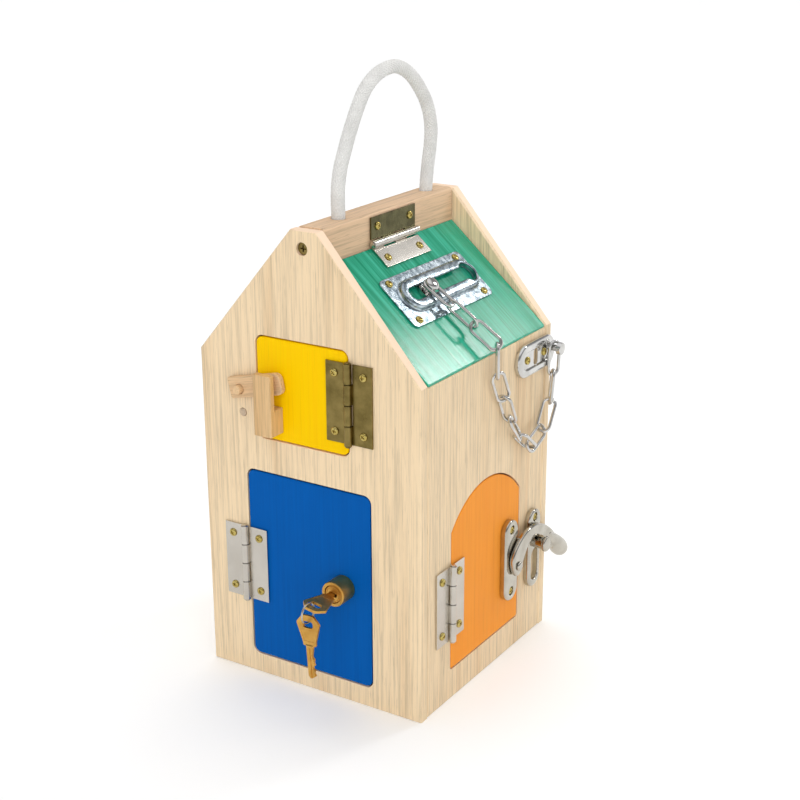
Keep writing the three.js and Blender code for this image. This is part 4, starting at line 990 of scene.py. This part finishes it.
keeper_profiles = [
    [(1.2, 0.3), (0.15, 0.3), (0, 0.6), (0, 3.0), (0.25, 3.8), (0.8, 4.35), (1.6, 4.6)],
    [(0, 0.3), (0, 3.2), (0.15, 3.8), (0.45, 4.3), (0.9, 4.6)],
    [(0, 0.3), (0, 3.9), (0.15, 4.3), (0.5, 4.6)],
]
keeper_outlines = [oblong(*KEEPER_PLATE, 31, 9, True, 20), oblong(*KEEPER_SLOT, 12.5, 5.4, True, 14)]
keeper_outlines.append(circle(*KEEPER_SCREW, WELL))
stub_head = [(5.2, 11.7), (5.8, 12.5), (5.8, 14.0), (5.3, 14.75), (4.3, 15), (0, 15)]
stub = lathe_mesh([(0, 3), (4.4, 3), (4.4, 11.6), *stub_head], *STUB)
hook_keeper = merged(flat_mesh(keeper_outlines, keeper_profiles), stub, well_floor(KEEPER_SCREW, 2.8))
put("hook_keeper", hook_keeper, SIDE, "polished", "house", "hook_keeper_plate", smooth=45)
screw("hook_keeper_screw", *KEEPER_SCREW, 2.8, SIDE, "house", 35)

# Chain track on the roof door: a plate, and on it a hollow ridge along one line of the slope
RIDGE, CAVITY, SLOT_HALF, SLOT_START = -45, (-37.1, 48.2, 7.6), 5, -34.5
OPENING, OPENING_ALONG = 7.6, 40.6
TRACK_MIDDLE, TRACK_SCREW_ALONG, TRACK_SCREW_UP = (2.1, -46.2), 43.1, 15.8


def band(start, end, half):
    return oblong((start + end) / 2, RIDGE, (end - start) / 2, half, False, 20)


def keyhole():
    """The track's slot with the round opening at its end, as one outline."""
    bend = math.degrees(math.asin(SLOT_HALF / OPENING))
    tail = arc(SLOT_START + SLOT_HALF, RIDGE, SLOT_HALF, 90, 270, 12)
    return tail + arc(OPENING_ALONG, RIDGE, OPENING, -180 + bend, 180 - bend, 40)


sheet_outline = rrect(-49.7, 53.9, -66.45, -25.95, 4.5)
track_sheet = slab_mesh([sheet_outline, band(*CAVITY)], SHEET_LOW, SHEET_TOP, 0.3)
flank = [(-1.4, 1.45), (-0.8, 1.6), (-0.3, 2.0), (0, 2.7), (0.1, 3.6), (0.45, 4.4), (1.1, 5.1), (2.1, 5.4)]
lip = [(0, 1.45), (0, 4.3), (0.1, 4.7), (0.4, 5.15), (0.9, 5.4)]
ridge = flat_mesh([band(-40, 50.5, 12.2), keyhole()], [flank, lip])
track = merged(track_sheet, carved(ridge, slab_mesh([band(*CAVITY)], -1, 3.4, 0)))
put("chain_track", track, ROOF, "track", "roof_door", "chain_track_plate", smooth=50)
for i, (along, up) in enumerate(((-1, 1), (1, 1), (-1, -1), (1, -1))):
    x, y = TRACK_MIDDLE[0] + along * TRACK_SCREW_ALONG, TRACK_MIDDLE[1] + up * TRACK_SCREW_UP
    screw(f"chain_track_screw_{i + 1}", x, y, SHEET_TOP, ROOF, "roof_door", 31 * i)
SLIDER = (-12, RIDGE)
slider = [(0, 0.6), (6.9, 0.6), (6.9, 3.0), (2.5, 3.0), (2.5, 8.5), (4.9, 8.5), (5.3, 8.8), (5.3, 9.4)]
slider += [(5.0, 10.1), (4.2, 10.8), (3.0, 11.2), (1.5, 11.35), (0, 11.35)]
put("chain_slider_knob", lathe_mesh(slider, *SLIDER, 40), ROOF, "chrome", "slider", "chain_slider")

# Chain anchor on the wall
ANCHOR, ANCHOR_SCREW, STUD, STUD_RADIUS = (61.5, 221.7), 12.6, (81.5, 223.5), 2.4
anchor_rims = [
    [(1.2, 0.3), (0.2, 0.3), (0, 0.7), (0, 2.4), (0.3, 3.3), (0.9, 3.95), (1.8, 4.2)],
    [(0, 0.3), (0, 3.0), (0.1, 3.4), (0.35, 3.9), (0.9, 4.2)],
]
anchor_outlines = [oblong(*ANCHOR, 27.5, 12, False, 20), oblong(*ANCHOR, 20.5, 6.4, False, 20)]
floor_outlines = [oblong(*ANCHOR, 21.2, 7.1, False, 20), oblong(*ANCHOR, 6.1, 3.1, True, 12)]
anchor = merged(flat_mesh(anchor_outlines, anchor_rims), slab_mesh(floor_outlines, 0.4, 2.6, 0.05, 0.3))
put("chain_anchor", anchor, SIDE, "chrome", "house", "chain_anchor_plate", smooth=50)
for i, way in enumerate((-1, 1)):
    spot = (ANCHOR[0] + way * ANCHOR_SCREW, ANCHOR[1], 2.6)
    screw(f"chain_anchor_screw_{i + 1}", *spot, SIDE, "house", 40 * i)
stud_head = [(4.2, 10.2), (4.6, 10.5), (4.6, 12.9), (4.3, 13.5), (3.6, 13.8), (0, 13.8)]
stud = lathe_mesh([(0, 0.6), (STUD_RADIUS, 0.6), (STUD_RADIUS, 10.2), *stud_head], *STUD, 36)
put("chain_stud", stud, SIDE, "chrome", "house", "chain_anchor_stud")

# Chain: oblong links of wire, placed one after the other as part.mjs places them
PITCH, HALF_WIDTH, WIRE, LINK_GAP, BOTTOM_PLAY = 21.2, 4.8, 1.25, 0.9, 1.4
SLIDER_NECK, TRACK_TOP, WIRE_PLAY, EAVE_ALONG, EAVE_OUT, STUD_OUT = 2.5, 5.4, 0.3, -3, 10, 7.2
SLOPED_ROLLS = (0, 105, 45)
FRONT_ANGLES, BACK_ANGLES = (-88, -62, -62, -48, -38), (19, 57, 78, 84)
FRONT_ROLLS, BACK_ROLLS = (-35, 30, 90, 150, 75), (-18, -80, 35, -20)
links = []


def link_mesh():
    straight = PITCH / 2 + LINK_GAP / 2 + WIRE - HALF_WIDTH
    right = [(x + straight, y) for x, y in arc(0, 0, HALF_WIDTH, -90, 90, 16)]
    left = [(x - straight, y) for x, y in arc(0, 0, HALF_WIDTH, 90, 270, 16)]
    top = [(straight - straight * i / 3, HALF_WIDTH) for i in (2, 4)]
    low = [(-straight + straight * i / 3, -HALF_WIDTH) for i in (2, 4)]
    points = [Vector((x, y, 0)) for x, y in right + top + left + low]
    return wire_mesh(points, WIRE, 18, closed=True)


def link(junction, run, normal, roll, body):
    along = run.normalized()
    flat = normal.cross(along).normalized()
    width = Matrix.Rotation(math.radians(roll), 3, along) @ flat
    middle = junction + along * (PITCH / 2)
    matrix = face(middle, along, width, along.cross(width))
    name = f"link_{len(links) + 1:02d}"
    piece = put(name, link_mesh(), matrix, "chrome", body, "chain_" + name, smooth=80, weighted=False)
    links.append(piece)
    return junction + along * PITCH


def at(matrix, *spot):
    return (matrix @ (Vector(spot) * MM)) / MM


neck_hold = SLIDER_NECK + LINK_GAP / 2
slope_reach = 3 * PITCH - neck_hold
wire_height = TRACK_TOP + WIRE_PLAY + WIRE
eave_fall = -math.sqrt(slope_reach**2 - (EAVE_ALONG - SLIDER[0]) ** 2 - (EAVE_OUT - wire_height) ** 2)
slider_neck = at(ROOF, *SLIDER, wire_height)
eave = at(ROOF, EAVE_ALONG, RIDGE + eave_fall, EAVE_OUT)
slope_run = (eave - slider_neck).normalized()
junction = slider_neck - slope_run * neck_hold
for roll in SLOPED_ROLLS:
    junction = link(junction, slope_run, OFF_SLOPE, roll, None)
for piece in links:
    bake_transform(piece)

hold = at(SIDE, *STUD, STUD_OUT)
level = Vector((hold.x - eave.x, hold.y - eave.y, 0))
reach = Vector((level.length, hold.z - eave.z))
level.normalize()
chain_normal = level.cross(Z)
stud_hold = STUD_RADIUS + LINK_GAP / 2


def step(length, angle):
    return Vector((length * math.cos(angle), length * math.sin(angle)))


def chord(angles, first_extra, last_extra):
    total = Vector((0, 0))
    for i, angle in enumerate(angles):
        extra = (first_extra if i == 0 else 0) + (last_extra if i == len(angles) - 1 else 0)
        total += step(PITCH + extra, math.radians(angle))
    return total


def bearing(vector):
    return math.atan2(vector.y, vector.x)


front_chord = chord(FRONT_ANGLES, 0, 0)
back_chord = chord(BACK_ANGLES, -BOTTOM_PLAY, -stud_hold)
across, down, back = reach.length, front_chord.length, back_chord.length
corner = math.acos((down**2 + across**2 - back**2) / (2 * down * across))
front_turn = bearing(reach) - corner - bearing(front_chord)
lowest = step(down, front_turn + bearing(front_chord))
back_turn = bearing(reach - lowest) - bearing(back_chord)
for angles, rolls, extra, play, body in (
    (FRONT_ANGLES, FRONT_ROLLS, front_turn, 0, "chain_front"),
    (BACK_ANGLES, BACK_ROLLS, back_turn, BOTTOM_PLAY, "chain_back"),
):
    for i, (angle, roll) in enumerate(zip(angles, rolls)):
        flat_run = step(1, math.radians(angle) + extra)
        run = level * flat_run.x + Z * flat_run.y
        if i == 0:
            junction = junction - run * play
        junction = link(junction, run, chain_normal, roll, body)


# Floor, backdrop and light
FLOOR_REACH, FLOOR_GLOW, LAMP_TARGET = 60, 0.15, Vector((0, 0, 0.2))


def floor_material():
    n = material("pale_floor")
    cloud = n.noise((3, 3, 3), 2, 0.5)
    n.color(n.mix(n.ramp(cloud, [(0.3, 0.0), (0.7, 1.0)]), (0.9, 0.9, 0.9), (0.93, 0.93, 0.93)))
    n.rough(n.remap(cloud, 0.7, 0.8))
    n.set("Specular IOR Level", 0.1)
    path = n.add("ShaderNodeLightPath")
    n.set("Emission Color", (1, 1, 1, 1))
    glow = n.math("MULTIPLY", path.outputs["Is Camera Ray"], FLOOR_GLOW)
    n.link(glow, n.shader.inputs["Emission Strength"])
    return n.owner


def add_floor():
    mesh = bpy.data.meshes.new("floor")
    corners = [(x * FLOOR_REACH, y * FLOOR_REACH, 0) for x, y in ((-1, -1), (1, -1), (1, 1), (-1, 1))]
    mesh.from_pydata(corners, [], [(0, 1, 2, 3)])
    mesh.materials.append(floor_material())
    add_object("floor", mesh)


# The room, seen and mirrored, is white at the horizon and overhead and grey between, and lights softly
def add_world():
    n = Nodes(bpy.data.worlds.new("studio"), "Background")
    path = n.add("ShaderNodeLightPath")
    seen = path.outputs["Is Camera Ray"]
    for kind in ("Is Glossy Ray", "Is Transmission Ray"):
        seen = n.math("MAXIMUM", seen, path.outputs[kind])
    n.link(n.remap(seen, 0.5, 1.0), n.shader.inputs["Strength"])
    greys = [(0.0, 1.0), (0.16, 1.0), (0.34, 0.3), (0.66, 0.26), (0.84, 0.9), (1.0, 1.0)]
    room = n.ramp(n.height("Generated"), [(spot, (grey, grey, grey * 1.03)) for spot, grey in greys])
    n.link(n.mix(seen, (1, 1, 1), room), n.shader.inputs["Color"])
    scene.world = n.owner


def lamp(name, kind, place, **values):
    light = bpy.data.lights.new(name, kind)
    for key, value in values.items():
        setattr(light, key, value)
    piece = add_object(name, light)
    turn = (LAMP_TARGET - Vector(place)).to_track_quat("-Z", "Y").to_matrix().to_4x4()
    piece.matrix_world = Matrix.Translation(place) @ turn
    return piece


add_floor()
add_world()
for name, place, energy, spread in (
    ("key", (-0.12, 0.16, 1.0), 1.0, 40),
    ("fill", (0.82, -1.31, 0.6), 1.66, 70),
):
    # A sun shades and casts shadows, and glossy surfaces mirror the room without it
    lamp(name, "SUN", place, energy=energy, angle=math.radians(spread)).visible_glossy = False
lamp("window", "AREA", (0.47, 0.93, 0.92), shape="RECTANGLE", size=0.2, size_y=0.2, energy=2.4)
scene.view_settings.view_transform = "Standard"
